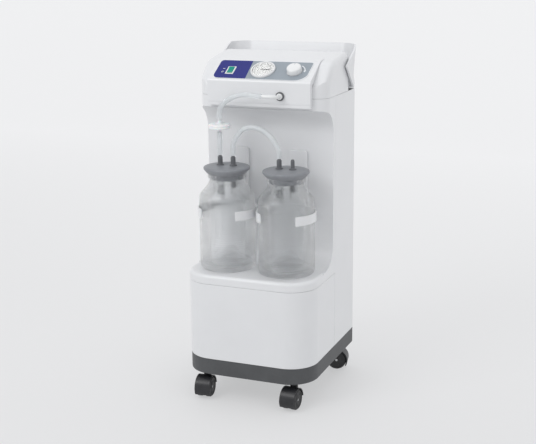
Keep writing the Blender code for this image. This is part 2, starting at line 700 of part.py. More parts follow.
def make_handle():
    levels = [0.0, 0.10, 0.24, 0.40, 0.5625, 0.75, 0.90, 1.0]
    shape = bmesh.new()
    rows = []
    for level in levels:
        z = HANDLE_BOTTOM_Z + level * (HANDLE_TOP_Z - HANDLE_BOTTOM_Z)
        plan = handle_plan(z)
        plan += [(-x, y) for x, y in reversed(plan)]
        rows.append([shape.verts.new((x, y, z)) for x, y in plan])
    for lower, upper in zip(rows, rows[1:]):
        for i in range(len(lower) - 1):
            shape.faces.new((lower[i], lower[i + 1], upper[i + 1], upper[i]))
    mesh = bpy.data.meshes.new("handle")
    shape.to_mesh(mesh)
    shape.free()
    handle = place(bpy.data.objects.new("handle", mesh), shell_white())
    wall = handle.modifiers.new("wall", "SOLIDIFY")
    wall.thickness = HANDLE_WALL
    wall.offset = -1.0
    front, half = COVER_REAR_Y + 0.003, HANDLE_HALF_WIDTH - HANDLE_WALL + 0.001
    corner = HANDLE_CORNER - HANDLE_WALL + 0.001
    centre_y = handle_rear_y(HANDLE_BOTTOM_Z) - HANDLE_CORNER
    plan = [point for point in arc((half - corner, centre_y), corner, 0, 90, 5) if point[1] > front]
    plan = [(half, front)] + plan
    plan += [(-x, y) for x, y in reversed(plan)]
    floor = prism("handle_floor", plan, HANDLE_BOTTOM_Z, HANDLE_BOTTOM_Z + 0.003, None, group=CUTTERS)
    return join(handle, floor)


# ---- jars ----
def jar_profile():
    r, wall = JAR_RADIUS, JAR_WALL
    neck = JAR_NECK_RADIUS
    lip = neck + 0.002
    outer = [(neck - 0.001, JAR_MOUTH_Z), (lip, JAR_MOUTH_Z - 0.002), (lip, JAR_MOUTH_Z - 0.009)]
    outer += [(neck, JAR_MOUTH_Z - 0.011), (neck, JAR_NECK_Z + 0.001), (neck + 0.004, JAR_NECK_Z - 0.006)]
    outer += [(r - 0.010, JAR_SHOULDER_Z + 0.015), (r - 0.0025, JAR_SHOULDER_Z + 0.006)]
    outer += [(r, JAR_SHOULDER_Z - 0.003), (r, JAR_BASE_Z + 0.012), (r - 0.003, JAR_BASE_Z + 0.003)]
    outer += [(r - 0.009, JAR_BASE_Z), (0, JAR_BASE_Z)]
    inner = [(0, JAR_BASE_Z + 0.008), (r - 0.014, JAR_BASE_Z + 0.008), (r - wall, JAR_BASE_Z + 0.017)]
    inner += [(r - wall, JAR_SHOULDER_Z - 0.004), (r - 0.012, JAR_SHOULDER_Z + 0.010)]
    inner += [(neck - wall + 0.003, JAR_NECK_Z - 0.008), (neck - wall, JAR_NECK_Z)]
    inner += [(neck - wall, JAR_MOUTH_Z)]
    return inner + outer


def make_jar(side, sign):
    centre = (sign * JAR_X, JAR_Y, 0)
    glass = material("glass", (0.8, 0.85, 0.87), 0.05, 0.0, 0.3)
    jar = turned(f"jar_{side}", jar_profile(), 24, glass)
    jar.location = centre
    lid_grey = material("lid_grey", (0.32, 0.33, 0.35), 0.55)
    mouth = JAR_NECK_RADIUS - JAR_WALL
    profile = [(0, LID_TOP_Z), (0.030, LID_TOP_Z), (LID_RADIUS - 0.004, LID_TOP_Z - 0.002),
               (LID_RADIUS, LID_TOP_Z - 0.004), (LID_RADIUS, LID_TOP_Z - 0.008),
               (JAR_NECK_RADIUS + 0.003, JAR_MOUTH_Z + GAP), (mouth - GAP, JAR_MOUTH_Z + GAP),
               (mouth - 0.0015, LID_PLUG_Z), (0, LID_PLUG_Z)]
    lid = turned(f"jar_lid_{side}", profile, 22, lid_grey)
    lid.location = centre
    for port, offset in (("in", NIPPLE_OFFSET), ("out", -NIPPLE_OFFSET)):
        x = sign * JAR_X + offset
        cut(lid, rod(f"lid_bore_{side}_{port}", NIPPLE_RADIUS + GAP, 0.50, 0.60, (x, JAR_Y), None,
                     group=CUTTERS))
        r = NIPPLE_RADIUS
        bare = port == "in" and sign > 0
        collar = BARE_NIPPLE_RADIUS if bare else NIPPLE_COLLAR_RADIUS
        outline = [(0, NIPPLE_TOP_Z), (r - 0.0008, NIPPLE_TOP_Z), (r, NIPPLE_TOP_Z - 0.0025),
                   (r, NIPPLE_TOP_Z - 0.0030), (collar, NIPPLE_TOP_Z - 0.0036), (collar, LID_TOP_Z + 0.0024),
                   (0.0092, LID_TOP_Z + 0.0020), (0.0092, LID_TOP_Z + GAP), (r, LID_TOP_Z + GAP)]
        if port == "in":
            outline += [(r, LID_PLUG_Z - 0.0015), (DEFLECTOR_RADIUS, LID_PLUG_Z - 0.0030),
                        (DEFLECTOR_RADIUS, DEFLECTOR_LOW_Z), (0, DEFLECTOR_LOW_Z)]
        else:
            outline += [(r, FLOAT_CAGE_TOP_Z + GAP), (0, FLOAT_CAGE_TOP_Z + GAP)]
        grey = material("nipple_grey", (0.2, 0.21, 0.22), 0.45)
        nipple = turned(f"{port}let_nipple_{side}", outline, 10, grey)
        nipple.location = (x, JAR_Y, 0)
    make_float_valve(side, sign)
    make_clip(side, sign)


def make_float_valve(side, sign):
    x = sign * JAR_X - NIPPLE_OFFSET
    top = FLOAT_CAGE_TOP_Z
    outer, inner = 0.0095, 0.0083
    profile = [(0, top), (outer, top), (outer, top - 0.032), (0.004, top - 0.032), (0.004, top - 0.0305),
               (inner, top - 0.0305), (inner, top - 0.0015), (0, top - 0.0015)]
    cage = turned(f"float_cage_{side}", profile, 12, clear_plastic())
    cage.location = (x, JAR_Y, 0)
    for axis, half in (("x", (0.02, 0.0035)), ("y", (0.0035, 0.02))):
        window = box(f"cage_window_{side}_{axis}", (x - half[0], JAR_Y - half[1], top - 0.027),
                     (x + half[0], JAR_Y + half[1], top - 0.006), None, CUTTERS)
        cut(cage, window)
    low = top - 0.0302
    high = low + 0.020
    profile = [(0, high), (0.0055, high - 0.001), (0.0072, high - 0.006), (0.0072, low + 0.002),
               (0.006, low), (0, low)]
    float_piece = turned(f"float_{side}", profile, 10, material("float_dark", (0.12, 0.13, 0.15), 0.4))
    float_piece.location = (x, JAR_Y, 0)


def make_clip(side, sign):
    x = sign * JAR_X
    opening = 270 + math.degrees(CLIP_OPEN_ANGLE)
    boss_half = 0.012
    boss_angle = math.degrees(math.asin(boss_half / CLIP_OUTER))
    wall_y = COLUMN_FRONT_Y - PLATE_THICKNESS - 2 * GAP - JAR_Y
    outline = arc((0, 0), CLIP_OUTER, opening - 360, 90 - boss_angle, 16)
    outline += [(boss_half, wall_y), (-boss_half, wall_y)]
    outline += arc((0, 0), CLIP_OUTER, 90 + boss_angle, 540 - opening, 16)
    outline += arc((0, 0), CLIP_INNER, 540 - opening, opening - 360, 32)
    outline = [(x + u, JAR_Y + v) for u, v in outline]
    prism(f"jar_clip_{side}", outline, CLIP_BOTTOM_Z, CLIP_TOP_Z, shell_white())
    plate_low, plate_high, corner = 0.440, 0.604, 0.006
    half = PLATE_HALF_WIDTH
    plate = arc((x - half + corner, plate_low + corner), corner, 180, 270, 3)
    plate += arc((x + half - corner, plate_low + corner), corner, 270, 360, 3)
    plate += arc((x + half - corner, plate_high - corner), corner, 0, 90, 3)
    plate += arc((x - half + corner, plate_high - corner), corner, 90, 180, 3)
    front = COLUMN_FRONT_Y - GAP - PLATE_THICKNESS
    prism(f"clip_plate_{side}", plate, front, COLUMN_FRONT_Y - GAP, shell_white(), "Y")


# ---- vacuum line ----
def smooth_route(points, spacing):
    """Points a set distance apart on a Catmull-Rom curve through the route points."""
    knots = [Vector(p) for p in points]
    knots = [knots[0] * 2 - knots[1]] + knots + [knots[-1] * 2 - knots[-2]]
    fine = []
    for i in range(1, len(knots) - 2):
        a, b, c, d = knots[i - 1:i + 3]
        for step in range(24):
            t = step / 24
            fine.append(0.5 * (2 * b + (c - a) * t + (2 * a - 5 * b + 4 * c - d) * t * t
                               + (3 * b - a - 3 * c + d) * t ** 3))
    fine.append(knots[-2])
    length = sum((q - p).length for p, q in zip(fine, fine[1:]))
    count = max(2, round(length / spacing))
    route, travelled, target = [fine[0]], 0.0, length / count
    for p, q in zip(fine, fine[1:]):
        step = (q - p).length
        while travelled + step >= target - 1e-9 and len(route) < count:
            route.append(p.lerp(q, (target - travelled) / step))
            target += length / count
        travelled += step
    route.append(fine[-1])
    return route


def tube(name, points, radius, finish, resolution=2):
    curve = bpy.data.curves.new(name, "CURVE")
    curve.dimensions = "3D"
    curve.bevel_depth = radius
    curve.bevel_resolution = resolution
    curve.use_fill_caps = True
    spline = curve.splines.new("POLY")
    spline.points.add(len(points) - 1)
    for point, co in zip(spline.points, points):
        point.co = (*co, 1)
    return place(bpy.data.objects.new(name, curve), finish)


def make_vacuum_line():
    hose = material("clear_hose", (0.85, 0.88, 0.9), 0.25, 0.0, 0.6)
    ring = [(0.0086, 0.0040), (0.0100, 0.0040), (0.0106, 0.0032), (0.0106, GAP), (0.0060, GAP),
            (0.0060, -0.006), (0.0048, -0.006), (0.0048, 0.0013), (0.0086, 0.0013)]
    port = turned("vacuum_port", ring, 16, dark_grey(), closed=True)
    facing_front = Matrix.Rotation(math.pi / 2, 4, "X")
    port.matrix_world = Matrix.Translation((PORT_X, FASCIA_FRONT_Y, PORT_Z)) @ facing_front
    bake(port)
    elbow_points = [(PORT_X, FASCIA_FRONT_Y - 0.0005, PORT_Z)]
    bend = ELBOW_BEND
    centre_x, centre_y = PORT_X - bend, ELBOW_REACH_Y + bend
    for i in range(6):
        angle = math.radians(18 * i)
        across, forward = bend * math.cos(angle), bend * math.sin(angle)
        elbow_points.append((centre_x + across, centre_y - forward, PORT_Z + 0.0004 * i))
    elbow_points.append((0.021, ELBOW_REACH_Y, PORT_Z + 0.002))
    elbow = tube("port_elbow", elbow_points, ELBOW_RADIUS, None)
    elbow = place(to_mesh(elbow, "port_elbow"), material("elbow_white", (0.85, 0.86, 0.86), 0.3))
    low, high = FASCIA_FRONT_Y - 0.0080, FASCIA_FRONT_Y - 0.0017
    join(elbow, rod("elbow_cuff", 0.0075, low, high, (PORT_X, PORT_Z), None, "Y", group=CUTTERS))
    tube("port_hose", smooth_route(PORT_HOSE, HOSE_SPACING), HOSE_RADIUS, hose)
    z = FILTER_Z
    rim = FILTER_RADIUS
    profile = [(0, z + 0.0167), (0.0040, z + 0.0167), (0.0045, z + 0.0080), (0.008, z + 0.0070),
               (rim - 0.0025, z + 0.0055), (rim, z + 0.0042), (rim, z - 0.0042),
               (rim - 0.0025, z - 0.0055), (0.008, z - 0.0070), (0.0045, z - 0.0080),
               (0.0040, z - 0.0137), (0, z - 0.0137)]
    disc = turned("bacterial_filter", profile, 20, material("filter_white", (0.85, 0.86, 0.87), 0.35))
    disc.location = (FILTER_X, JAR_Y, 0)
    low, high = NIPPLE_TOP_Z + GAP, z - 0.014
    tube("filter_hose", [(FILTER_X, JAR_Y, low + (high - low) * i / 4) for i in range(5)], HOSE_RADIUS, hose)
    tube("jar_link_hose", smooth_route(JAR_LINK_HOSE, HOSE_SPACING), HOSE_RADIUS, hose)


# ---- casters ----
def caster_places():
    return [(-CASTER_X, CASTER_FRONT_Y), (CASTER_X, CASTER_FRONT_Y), (-CASTER_X, CASTER_REAR_Y),
            (CASTER_X, CASTER_REAR_Y)]


def make_caster(name, x, y, heading):
    """One twin-wheel caster; its wheels trail towards the heading, in degrees from +X."""
    pivot = bpy.data.objects.new(f"{name}_pivot", None)
    make_collection(PARTS).objects.link(pivot)
    pivot.location = (x, y, 0)
    pivot.rotation_euler = (0, 0, math.radians(heading))
    axle_z = WHEEL_RADIUS * math.cos(math.pi / WHEEL_SIDES)
    outer_half = WHEEL_GAP / 2 + 2 * GAP + WHEEL_WIDTH
    inner = WHEEL_RADIUS + 0.0008
    start, end = -32, 178
    fender = arc((CASTER_TRAIL, axle_z), HOOD_RADIUS, start, end, 10)
    fender += arc((CASTER_TRAIL, axle_z), inner, end, start, 10)
    hood = prism(f"{name}_hood", fender, -outer_half, outer_half, black_nylon(), "Y")
    web = arc((CASTER_TRAIL, axle_z), inner + 0.001, -25, 215, 11)
    web_tool = prism(f"{name}_web", web, -WHEEL_GAP / 2, WHEEL_GAP / 2, None, "Y", CUTTERS)
    stem = rod(f"{name}_stem", 0.0055, 0.040, BASE_BOTTOM + 0.009, (0, 0), None, sides=12, group=CUTTERS)
    collar = rod(f"{name}_collar", 0.0095, 0.030, BASE_BOTTOM - 0.002, (0, 0), None, sides=14, group=CUTTERS)
    bore = rod(f"{name}_bore", 0.0035, -0.01, 0.01, (CASTER_TRAIL, axle_z), None, "Y", 12, CUTTERS)
    join(hood, web_tool, collar, stem)
    spans = ((WHEEL_GAP / 2, outer_half + 0.01), (-outer_half - 0.01, -WHEEL_GAP / 2))
    spaces = [rod(f"{name}_space_{i}", inner, low, high, (CASTER_TRAIL, axle_z), None, "Y", 22, CUTTERS)
              for i, (low, high) in enumerate(spans)]
    cut(hood, bore, *spaces)
    pieces = [hood, web_tool, stem, collar, bore, *spaces]
    axle = rod(f"{name}_axle", 0.0031, -outer_half + 0.001, outer_half - 0.001, (0, 0), steel(), "Y", 10)
    axle.location = (CASTER_TRAIL, 0, axle_z)
    pieces.append(axle)
    for label, side in (("inner", 1), ("outer", -1)):
        near = WHEEL_GAP / 2 + GAP
        far = near + WHEEL_WIDTH
        r = WHEEL_RADIUS
        profile = [(0.0034, near), (r, near), (r, far - 0.003), (r - 0.003, far), (0.0034, far)]
        if side < 0:
            profile = [(u, -v) for u, v in profile][::-1]
        wheel = turned(f"{name}_wheel_{label}", profile[::-1], WHEEL_SIDES, black_nylon(), closed=True)
        bake(wheel)
        half_step = Matrix.Rotation(math.pi / WHEEL_SIDES, 4, "Z")
        wheel.data.transform(Matrix.Rotation(math.pi / 2, 4, "X") @ half_step)
        wheel.location = (CASTER_TRAIL, 0, axle_z)
        pieces.append(wheel)
    for piece in pieces:
        piece.parent = pivot
    return pivot


def make_casters():
    headings = (-85, -94, -75, 12)
    names = ("caster_front_left", "caster_front_right", "caster_rear_left", "caster_rear_right")
    for name, (x, y), heading in zip(names, caster_places(), headings):
        make_caster(name, x, y, heading)


# ---- drive inside the cabinet ----
def make_drive():
    aluminium = material("aluminium", (0.62, 0.63, 0.64), 0.4, 0.9)
    paint = material("motor_paint", (0.05, 0.06, 0.07), 0.5)
    plate = box("pump_plate", (-0.120, 0.025, PLATE_TOP - 0.003), (0.120, 0.145, PLATE_TOP), steel())
    foot_x, foot_y = 0.090, 0.048
    for index, (sx, sy) in enumerate(((-1, -1), (1, -1), (-1, 1), (1, 1))):
        foot = (sx * foot_x, MOTOR_Y + sy * foot_y)
        leg = rod(f"plate_leg_{index}", 0.008, BASE_BOTTOM + 0.0063, 0.113, foot, None, sides=12,
                  group=CUTTERS)
        join(plate, leg)
    low = PLATE_TOP + GAP
    block = box("pump_block", (-0.110, 0.050, low), (-0.020, 0.120, 0.200), aluminium)
    for index, x in enumerate((-0.088, -0.042)):
        head = rod(f"cylinder_head_{index}", 0.021, 0.19, 0.232, (x, MOTOR_Y), None, sides=20, group=CUTTERS)
        join(block, head)
    cut(block, rod("shaft_bore", 0.0065, -0.05, 0.0, (MOTOR_Y, MOTOR_Z), None, "X", group=CUTTERS))
    motor = rod("motor", MOTOR_RADIUS, -0.019, 0.070, (MOTOR_Y, MOTOR_Z), paint, "X", 28)
    saddle = box("motor_saddle", (-0.010, MOTOR_Y - 0.028, low), (0.060, MOTOR_Y + 0.028, MOTOR_Z - 0.02),
                 None, CUTTERS)
    join(motor, saddle)
    cut(motor, rod("motor_bore", 0.0053, -0.05, 0.1, (MOTOR_Y, MOTOR_Z), None, "X", group=CUTTERS))
    shaft = rod("motor_fan", 0.005, -0.045, 0.0885, (0, 0), steel(), "X", 16)
    shaft.location = (0, MOTOR_Y, MOTOR_Z)
    hub = rod("fan_hub", 0.010, 0.0715, 0.0890, (0, 0), None, "X", 16, CUTTERS)
    hub.location = shaft.location
    join(shaft, hub)
    for index in range(5):
        blade = box(f"fan_blade_{index}", (0.074, -0.0012, 0.006), (0.087, 0.0012, 0.034), None, CUTTERS)
        blade.location = shaft.location
        blade.rotation_euler = (math.radians(72 * index), 0, 0)
        join(shaft, blade)


def make_rear_fittings():
    grille = box("rear_vent", (-0.0697, 0.1727, 0.1503), (0.0697, 0.1757, 0.2497), dark_grey())
    for index in range(7):
        z = 0.160 + index * 0.0125
        cut(grille, box(f"vent_slot_{index}", (-0.060, 0.16, z), (0.060, 0.19, z + 0.0055), None, CUTTERS))
    inlet = box("power_inlet", (0.0853, 0.152, 0.1503), (0.1247, 0.1757, 0.1847), black_nylon())
    cut(inlet, box("inlet_socket", (0.092, 0.160, 0.157), (0.118, 0.19, 0.178), None, CUTTERS))


def build():
    clear_scene()
    make_collection(PARTS)
    make_collection(CUTTERS)
    make_base_tray()
    make_front_cover()
    make_bay_shell()
    make_rear_shell()
    make_top_cover()
    make_fascia()
    make_panel()
    make_handle()
    for side, sign in (("left", -1), ("right", 1)):
        make_jar(side, sign)
    make_vacuum_line()
    make_casters()
    make_drive()
    make_rear_fittings()
    root = bpy.data.objects.new("pump_frame", None)
    make_collection(PARTS).objects.link(root)
    for obj in bpy.data.objects:
        if obj.parent is None and obj is not root:
            obj.parent = root
    root.location = (0, FRAME_SHIFT_Y, 0)


build()
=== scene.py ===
"""Looks of the mobile suction pump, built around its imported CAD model.

Every length is in metres. The pieces are drawn in the cabinet's own frame and then moved by
FRAME_SHIFT, which centres the whole pump on the origin.
"""
import math

import bmesh
import bpy
from mathutils import Matrix, Vector


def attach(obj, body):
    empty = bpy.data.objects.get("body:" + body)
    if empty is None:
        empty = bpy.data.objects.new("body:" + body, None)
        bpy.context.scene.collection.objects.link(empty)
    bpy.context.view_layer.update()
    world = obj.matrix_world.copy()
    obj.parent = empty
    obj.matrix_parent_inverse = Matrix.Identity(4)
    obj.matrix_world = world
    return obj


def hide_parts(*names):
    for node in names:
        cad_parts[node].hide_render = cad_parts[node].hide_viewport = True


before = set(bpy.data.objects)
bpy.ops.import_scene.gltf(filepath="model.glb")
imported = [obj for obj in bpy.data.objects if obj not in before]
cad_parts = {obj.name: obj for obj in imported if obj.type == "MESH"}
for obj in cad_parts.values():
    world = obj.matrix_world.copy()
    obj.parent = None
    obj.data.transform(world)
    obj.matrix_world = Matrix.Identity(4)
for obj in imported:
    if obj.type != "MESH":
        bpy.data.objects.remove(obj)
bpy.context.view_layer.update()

FRAME_SHIFT = Matrix.Translation((0, -0.0052, 0))
HALF_WIDTH = 0.165
FRONT_Y, REAR_Y = -0.176, 0.176
FRONT_RADIUS, REAR_RADIUS = 0.070, 0.012
SKIN, GAP, SEAM_Y = 0.003, 0.0003, 0.018
BASE_BOTTOM, BASE_TOP = 0.066, 0.106
SHELF_SEAM_Z, SHELF_TOP_Z = 0.297, 0.320
COLUMN_FRONT_Y, COVE_RADIUS = 0.003, 0.060
HEAD_BOTTOM_Z, HEAD_SEAM_Z, HEAD_FRONT_Y, HEAD_CORNER = 0.7085, 0.737, -0.053, 0.034
COVER_BEND_Z, COVER_SHOULDER_Y, COVER_SHOULDER_Z = 0.765, 0.0, 0.8145
COVER_REAR_Y, COVER_TOP_Z = 0.126, 0.832
FASCIA_HALF, FASCIA_FRONT_Y, FASCIA_BOTTOM_Z, FASCIA_BEND_Z = 0.131, -0.068, 0.7155, 0.7775
FASCIA_TILT, FASCIA_SHOULDER_Y, FASCIA_END_Y = math.radians(30), 0.004, 0.030
HANDLE_HALF, HANDLE_WALL, HANDLE_CORNER, HANDLE_LOW, HANDLE_HIGH = 0.173, 0.0045, 0.055, 0.742, 0.846
JAR_X, JAR_Y, JAR_RADIUS, JAR_BASE_Z, JAR_WALL = 0.0764, -0.0856, 0.069, 0.3198, 0.0038
JAR_SHOULDER_Z, JAR_NECK_Z, JAR_MOUTH_Z, JAR_NECK_RADIUS = 0.498, 0.530, 0.554, 0.0445
LID_RADIUS, LID_TOP_Z, NIPPLE_OFFSET, NIPPLE_RADIUS, NIPPLE_TOP_Z = 0.0563, 0.5730, 0.017, 0.0042, 0.597
HOSE_RADIUS = 0.006
PANEL_Y, GAUGE_RADIUS, KNOB_X, KNOB_RADIUS = -0.034, 0.0305, 0.080, 0.0185
SWITCH_X, SWITCH_Y, SWITCH_WIDTH, SWITCH_LENGTH = -0.082, -0.038, 0.021, 0.029
PORT_X, PORT_Z = 0.056, 0.742
AXLE_Z, TRAIL, HOOD_RADIUS, WHEEL_GAP, WHEEL_WIDTH = 0.025186, 0.017, 0.0290, 0.0085, 0.0145
CASTERS = [("front_left", -0.115, -0.139, -85), ("front_right", 0.115, -0.139, -94),
           ("rear_left", -0.115, 0.137, -75), ("rear_right", 0.115, 0.137, 12)]
SEAM_ROUNDING, PRINT_DEPTH, BUMP_DEPTH = 0.0011, 0.0001, 0.0006


# ---- materials ----
def add_node(tree, kind, **values):
    """A new shader node with the given values on its input sockets."""
    node = tree.nodes.new("ShaderNode" + kind)
    for socket, value in values.items():
        node.inputs[socket.replace("_", " ")].default_value = value
    return node


def halved(tree, operation):
    """A math node whose second value is a half."""
    node = add_node(tree, "Math")
    node.operation = operation
    node.inputs[1].default_value = 0.5
    return node


def surface(name, colour, roughness, metallic=0.0, vary=0.03, patch=14.0, grain=900.0, bump=0.05,
            rough_vary=0.06, stretch=(1, 1, 1), **sockets):
    """A moulded, cast or painted finish: slow colour drift, fine grain in bump and roughness."""
    made = bpy.data.materials.new(name)
    made.use_nodes = True
    tree = made.node_tree
    shader = tree.nodes["Principled BSDF"]
    place = add_node(tree, "TexCoord").outputs["Object"]
    scale = add_node(tree, "Mapping", Scale=stretch)
    slow = add_node(tree, "TexNoise", Scale=patch, Detail=5.0)
    tones = add_node(tree, "ValToRGB")
    for element, position, factor in zip(tones.color_ramp.elements, (0.3, 0.7), (1 - vary, 1 + vary)):
        element.position = position
        element.color = (*[min(1, c * factor) for c in colour], 1)
    fine = add_node(tree, "TexNoise", Scale=grain, Detail=3.0)
    spread = add_node(tree, "MapRange", To_Min=max(0.0, roughness - rough_vary),
                      To_Max=min(1.0, roughness + rough_vary))
    half, mixed = halved(tree, "MULTIPLY"), halved(tree, "MULTIPLY_ADD")
    relief = add_node(tree, "Bump", Strength=bump, Distance=BUMP_DEPTH)
    for source, target in (
            (place, scale.inputs["Vector"]), (place, slow.inputs["Vector"]),
            (scale.outputs["Vector"], fine.inputs["Vector"]),
            (slow.outputs["Fac"], tones.inputs["Fac"]), (tones.outputs["Color"], shader.inputs["Base Color"]),
            (slow.outputs["Fac"], half.inputs[0]), (fine.outputs["Fac"], mixed.inputs[0]),
            (half.outputs["Value"], mixed.inputs[2]), (mixed.outputs["Value"], spread.inputs["Value"]),
            (spread.outputs["Result"], shader.inputs["Roughness"]),
            (fine.outputs["Fac"], relief.inputs["Height"]),
            (relief.outputs["Normal"], shader.inputs["Normal"])):
        tree.links.new(source, target)
    for socket, value in {"Metallic": metallic, **sockets}.items():
        shader.inputs[socket.replace("_", " ")].default_value = value
    return made


MATS = {
    "shell": surface("moulded_white", (0.755, 0.763, 0.777), 0.30, vary=0.012, grain=1500, bump=0.03,
                     Coat_Weight=0.25, Coat_Roughness=0.18),
    "base": surface("base_grey", (0.072, 0.075, 0.079), 0.5, vary=0.10, patch=30, grain=1300, bump=0.16),
    "nylon": surface("black_nylon", (0.018, 0.018, 0.021), 0.36, vary=0.20, patch=60, grain=1100, bump=0.12,
                     rough_vary=0.12),
    "tread": surface("wheel_tread", (0.022, 0.022, 0.024), 0.52, vary=0.25, patch=90, grain=700, bump=0.25,
                     rough_vary=0.15),
    "blue": surface("label_blue", (0.018, 0.024, 0.20), 0.34, vary=0.04, patch=40, grain=2500, bump=0.03,
                    Specular_IOR_Level=0.22),
    "grey": surface("label_grey", (0.30, 0.34, 0.38), 0.34, vary=0.03, patch=40, grain=2500, bump=0.03,
                    Specular_IOR_Level=0.3),
    "print": surface("label_print", (0.82, 0.84, 0.86), 0.3, vary=0.02, patch=60, grain=2500, bump=0.02),
    "control": surface("control_white", (0.79, 0.80, 0.805), 0.24, vary=0.012, grain=1800, bump=0.02,
                       Coat_Weight=0.3, Coat_Roughness=0.12),
    "rocker": surface("rocker_green", (0.0, 0.27, 0.20), 0.36, vary=0.12, patch=120, grain=1500, bump=0.02,
                      Specular_IOR_Level=0.3),
    "dial": surface("dial_white", (0.86, 0.86, 0.84), 0.55, vary=0.015, patch=80, grain=3000, bump=0.04),
    "ink": surface("dial_ink", (0.24, 0.25, 0.27), 0.5, vary=0.10, patch=200, grain=3000, bump=0.02),
    "needle": surface("needle_black", (0.008, 0.008, 0.009), 0.35, vary=0.15, patch=200, grain=2500,
                      bump=0.03),
    "lens": surface("gauge_lens_clear", (0.97, 0.98, 0.98), 0.03, vary=0.0, grain=600, bump=0.0,
                    rough_vary=0.01, Transmission_Weight=1.0, IOR=1.46, Alpha=0.30),
    "clear": surface("clear_plastic", (0.93, 0.95, 0.96), 0.12, vary=0.02, grain=800, bump=0.02,
                     rough_vary=0.04, Transmission_Weight=0.9, IOR=1.46),
    "glass": surface("jar_glass", (0.955, 0.97, 0.975), 0.02, vary=0.008, patch=9, grain=90, bump=0.03,
                     rough_vary=0.012, Transmission_Weight=1.0, IOR=1.47, Alpha=0.42),
    "lid": surface("lid_rubber", (0.25, 0.26, 0.28), 0.42, vary=0.10, patch=45, grain=900, bump=0.14,
                   rough_vary=0.10),
    "nipple": surface("nipple_grey", (0.13, 0.135, 0.145), 0.38, vary=0.12, patch=90, grain=1400, bump=0.10),
    "float": surface("float_grey", (0.05, 0.055, 0.065), 0.4, vary=0.15, patch=110, grain=1400, bump=0.08),
    "hose": surface("silicone_hose", (0.88, 0.905, 0.92), 0.30, vary=0.02, patch=60, grain=500, bump=0.04,
                    Transmission_Weight=0.55, IOR=1.40),
    "filter": surface("filter_white", (0.84, 0.86, 0.87), 0.32, vary=0.02, patch=70, grain=1500, bump=0.03,
                      Subsurface_Weight=0.15, Subsurface_Scale=0.004),
    "steel": surface("zinc_steel", (0.55, 0.56, 0.57), 0.30, 1.0, vary=0.08, patch=60, grain=500, bump=0.06,
                     rough_vary=0.12, stretch=(0.15, 1, 1)),
    "brass": surface("machined_brass", (0.62, 0.45, 0.18), 0.30, 1.0, vary=0.08, patch=90, grain=900,
                     bump=0.05, stretch=(1, 1, 0.1)),
    "cast": surface("cast_aluminium", (0.52, 0.53, 0.54), 0.48, 0.9, vary=0.12, patch=70, grain=420,
                    bump=0.30, rough_vary=0.14),
    "motor": surface("motor_paint", (0.045, 0.05, 0.055), 0.42, vary=0.18, patch=50, grain=650, bump=0.18),
}


# ---- mesh tools ----
def link(obj):
    bpy.context.scene.collection.objects.link(obj)
    return obj


def arc(centre, radius, start, end, steps):
    """Points on an arc, angles in degrees, both ends included."""
    points = []
    for i in range(steps + 1):
        angle = math.radians(start + (end - start) * i / steps)
        points.append((centre[0] + radius * math.cos(angle), centre[1] + radius * math.sin(angle)))
    return points


def from_shape(name, shape):
    mesh = bpy.data.meshes.new(name)
    shape.to_mesh(mesh)
    shape.free()
    return link(bpy.data.objects.new(name, mesh))


AXES = {
    "Z": Matrix.Identity(4),
    "X": Matrix(((0, 0, 1, 0), (1, 0, 0, 0), (0, 1, 0, 0), (0, 0, 0, 1))),
    "Y": Matrix(((1, 0, 0, 0), (0, 0, 1, 0), (0, 1, 0, 0), (0, 0, 0, 1))),
}


def prism(name, outline, low, high, axis="Z"):
    """A flat outline extruded from low to high; it lies in XY, in YZ for axis X, in XZ for Y."""
    shape = bmesh.new()
    lower = [shape.verts.new((u, v, low)) for u, v in outline]
    upper = [shape.verts.new((u, v, high)) for u, v in outline]
    count = len(outline)
    shape.faces.new(lower[::-1])
    shape.faces.new(upper)
    for i in range(count):
        j = (i + 1) % count
        shape.faces.new((lower[i], lower[j], upper[j], upper[i]))
    bmesh.ops.transform(shape, matrix=AXES[axis], verts=shape.verts)
    bmesh.ops.recalc_face_normals(shape, faces=shape.faces)
    return from_shape(name, shape)


def ring_prism(name, outer, inner, low, high, axis="Z"):
    """A band between two outlines of the same length, both open, joined at their ends."""
    return prism(name, outer + inner[::-1], low, high, axis)


def block(name, low, high, bevel=0.0, segments=3):
    """A box between two corners, its edges rounded when a bevel is given."""
    shape = bmesh.new()
    bmesh.ops.create_cube(shape, size=1)
    bmesh.ops.scale(shape, vec=Vector(high) - Vector(low), verts=shape.verts)
    bmesh.ops.translate(shape, vec=(Vector(high) + Vector(low)) / 2, verts=shape.verts)
    if bevel:
        bmesh.ops.bevel(shape, geom=shape.edges[:], offset=bevel, segments=segments, profile=0.5,
                        affect="EDGES")
    return from_shape(name, shape)


def lathe(name, profile, steps=96, axis="Z", centre=(0, 0, 0), closed=False):
    """A turned shape from (radius, height) points; points at radius 0 become single poles."""
    shape = bmesh.new()
    rings = []
    for radius, height in profile:
        if radius < 1e-7:
            rings.append([shape.verts.new((0, 0, height))])
        else:
            rings.append([shape.verts.new((radius * math.cos(2 * math.pi * i / steps),
                                           radius * math.sin(2 * math.pi * i / steps), height))
                          for i in range(steps)])
    pairs = list(zip(rings, rings[1:]))
    if closed:
        pairs.append((rings[-1], rings[0]))
    for a, b in pairs:
        for i in range(steps):
            j = (i + 1) % steps
            if len(a) == 1 and len(b) == 1:
                continue
            if len(a) == 1:
                shape.faces.new((a[0], b[j], b[i]))
            elif len(b) == 1:
                shape.faces.new((a[i], a[j], b[0]))
            else:
                shape.faces.new((a[i], a[j], b[j], b[i]))
    bmesh.ops.recalc_face_normals(shape, faces=shape.faces)
    bmesh.ops.transform(shape, matrix=Matrix.Translation(centre) @ AXES[axis], verts=shape.verts)
    bmesh.ops.recalc_face_normals(shape, faces=shape.faces)
    return from_shape(name, shape)


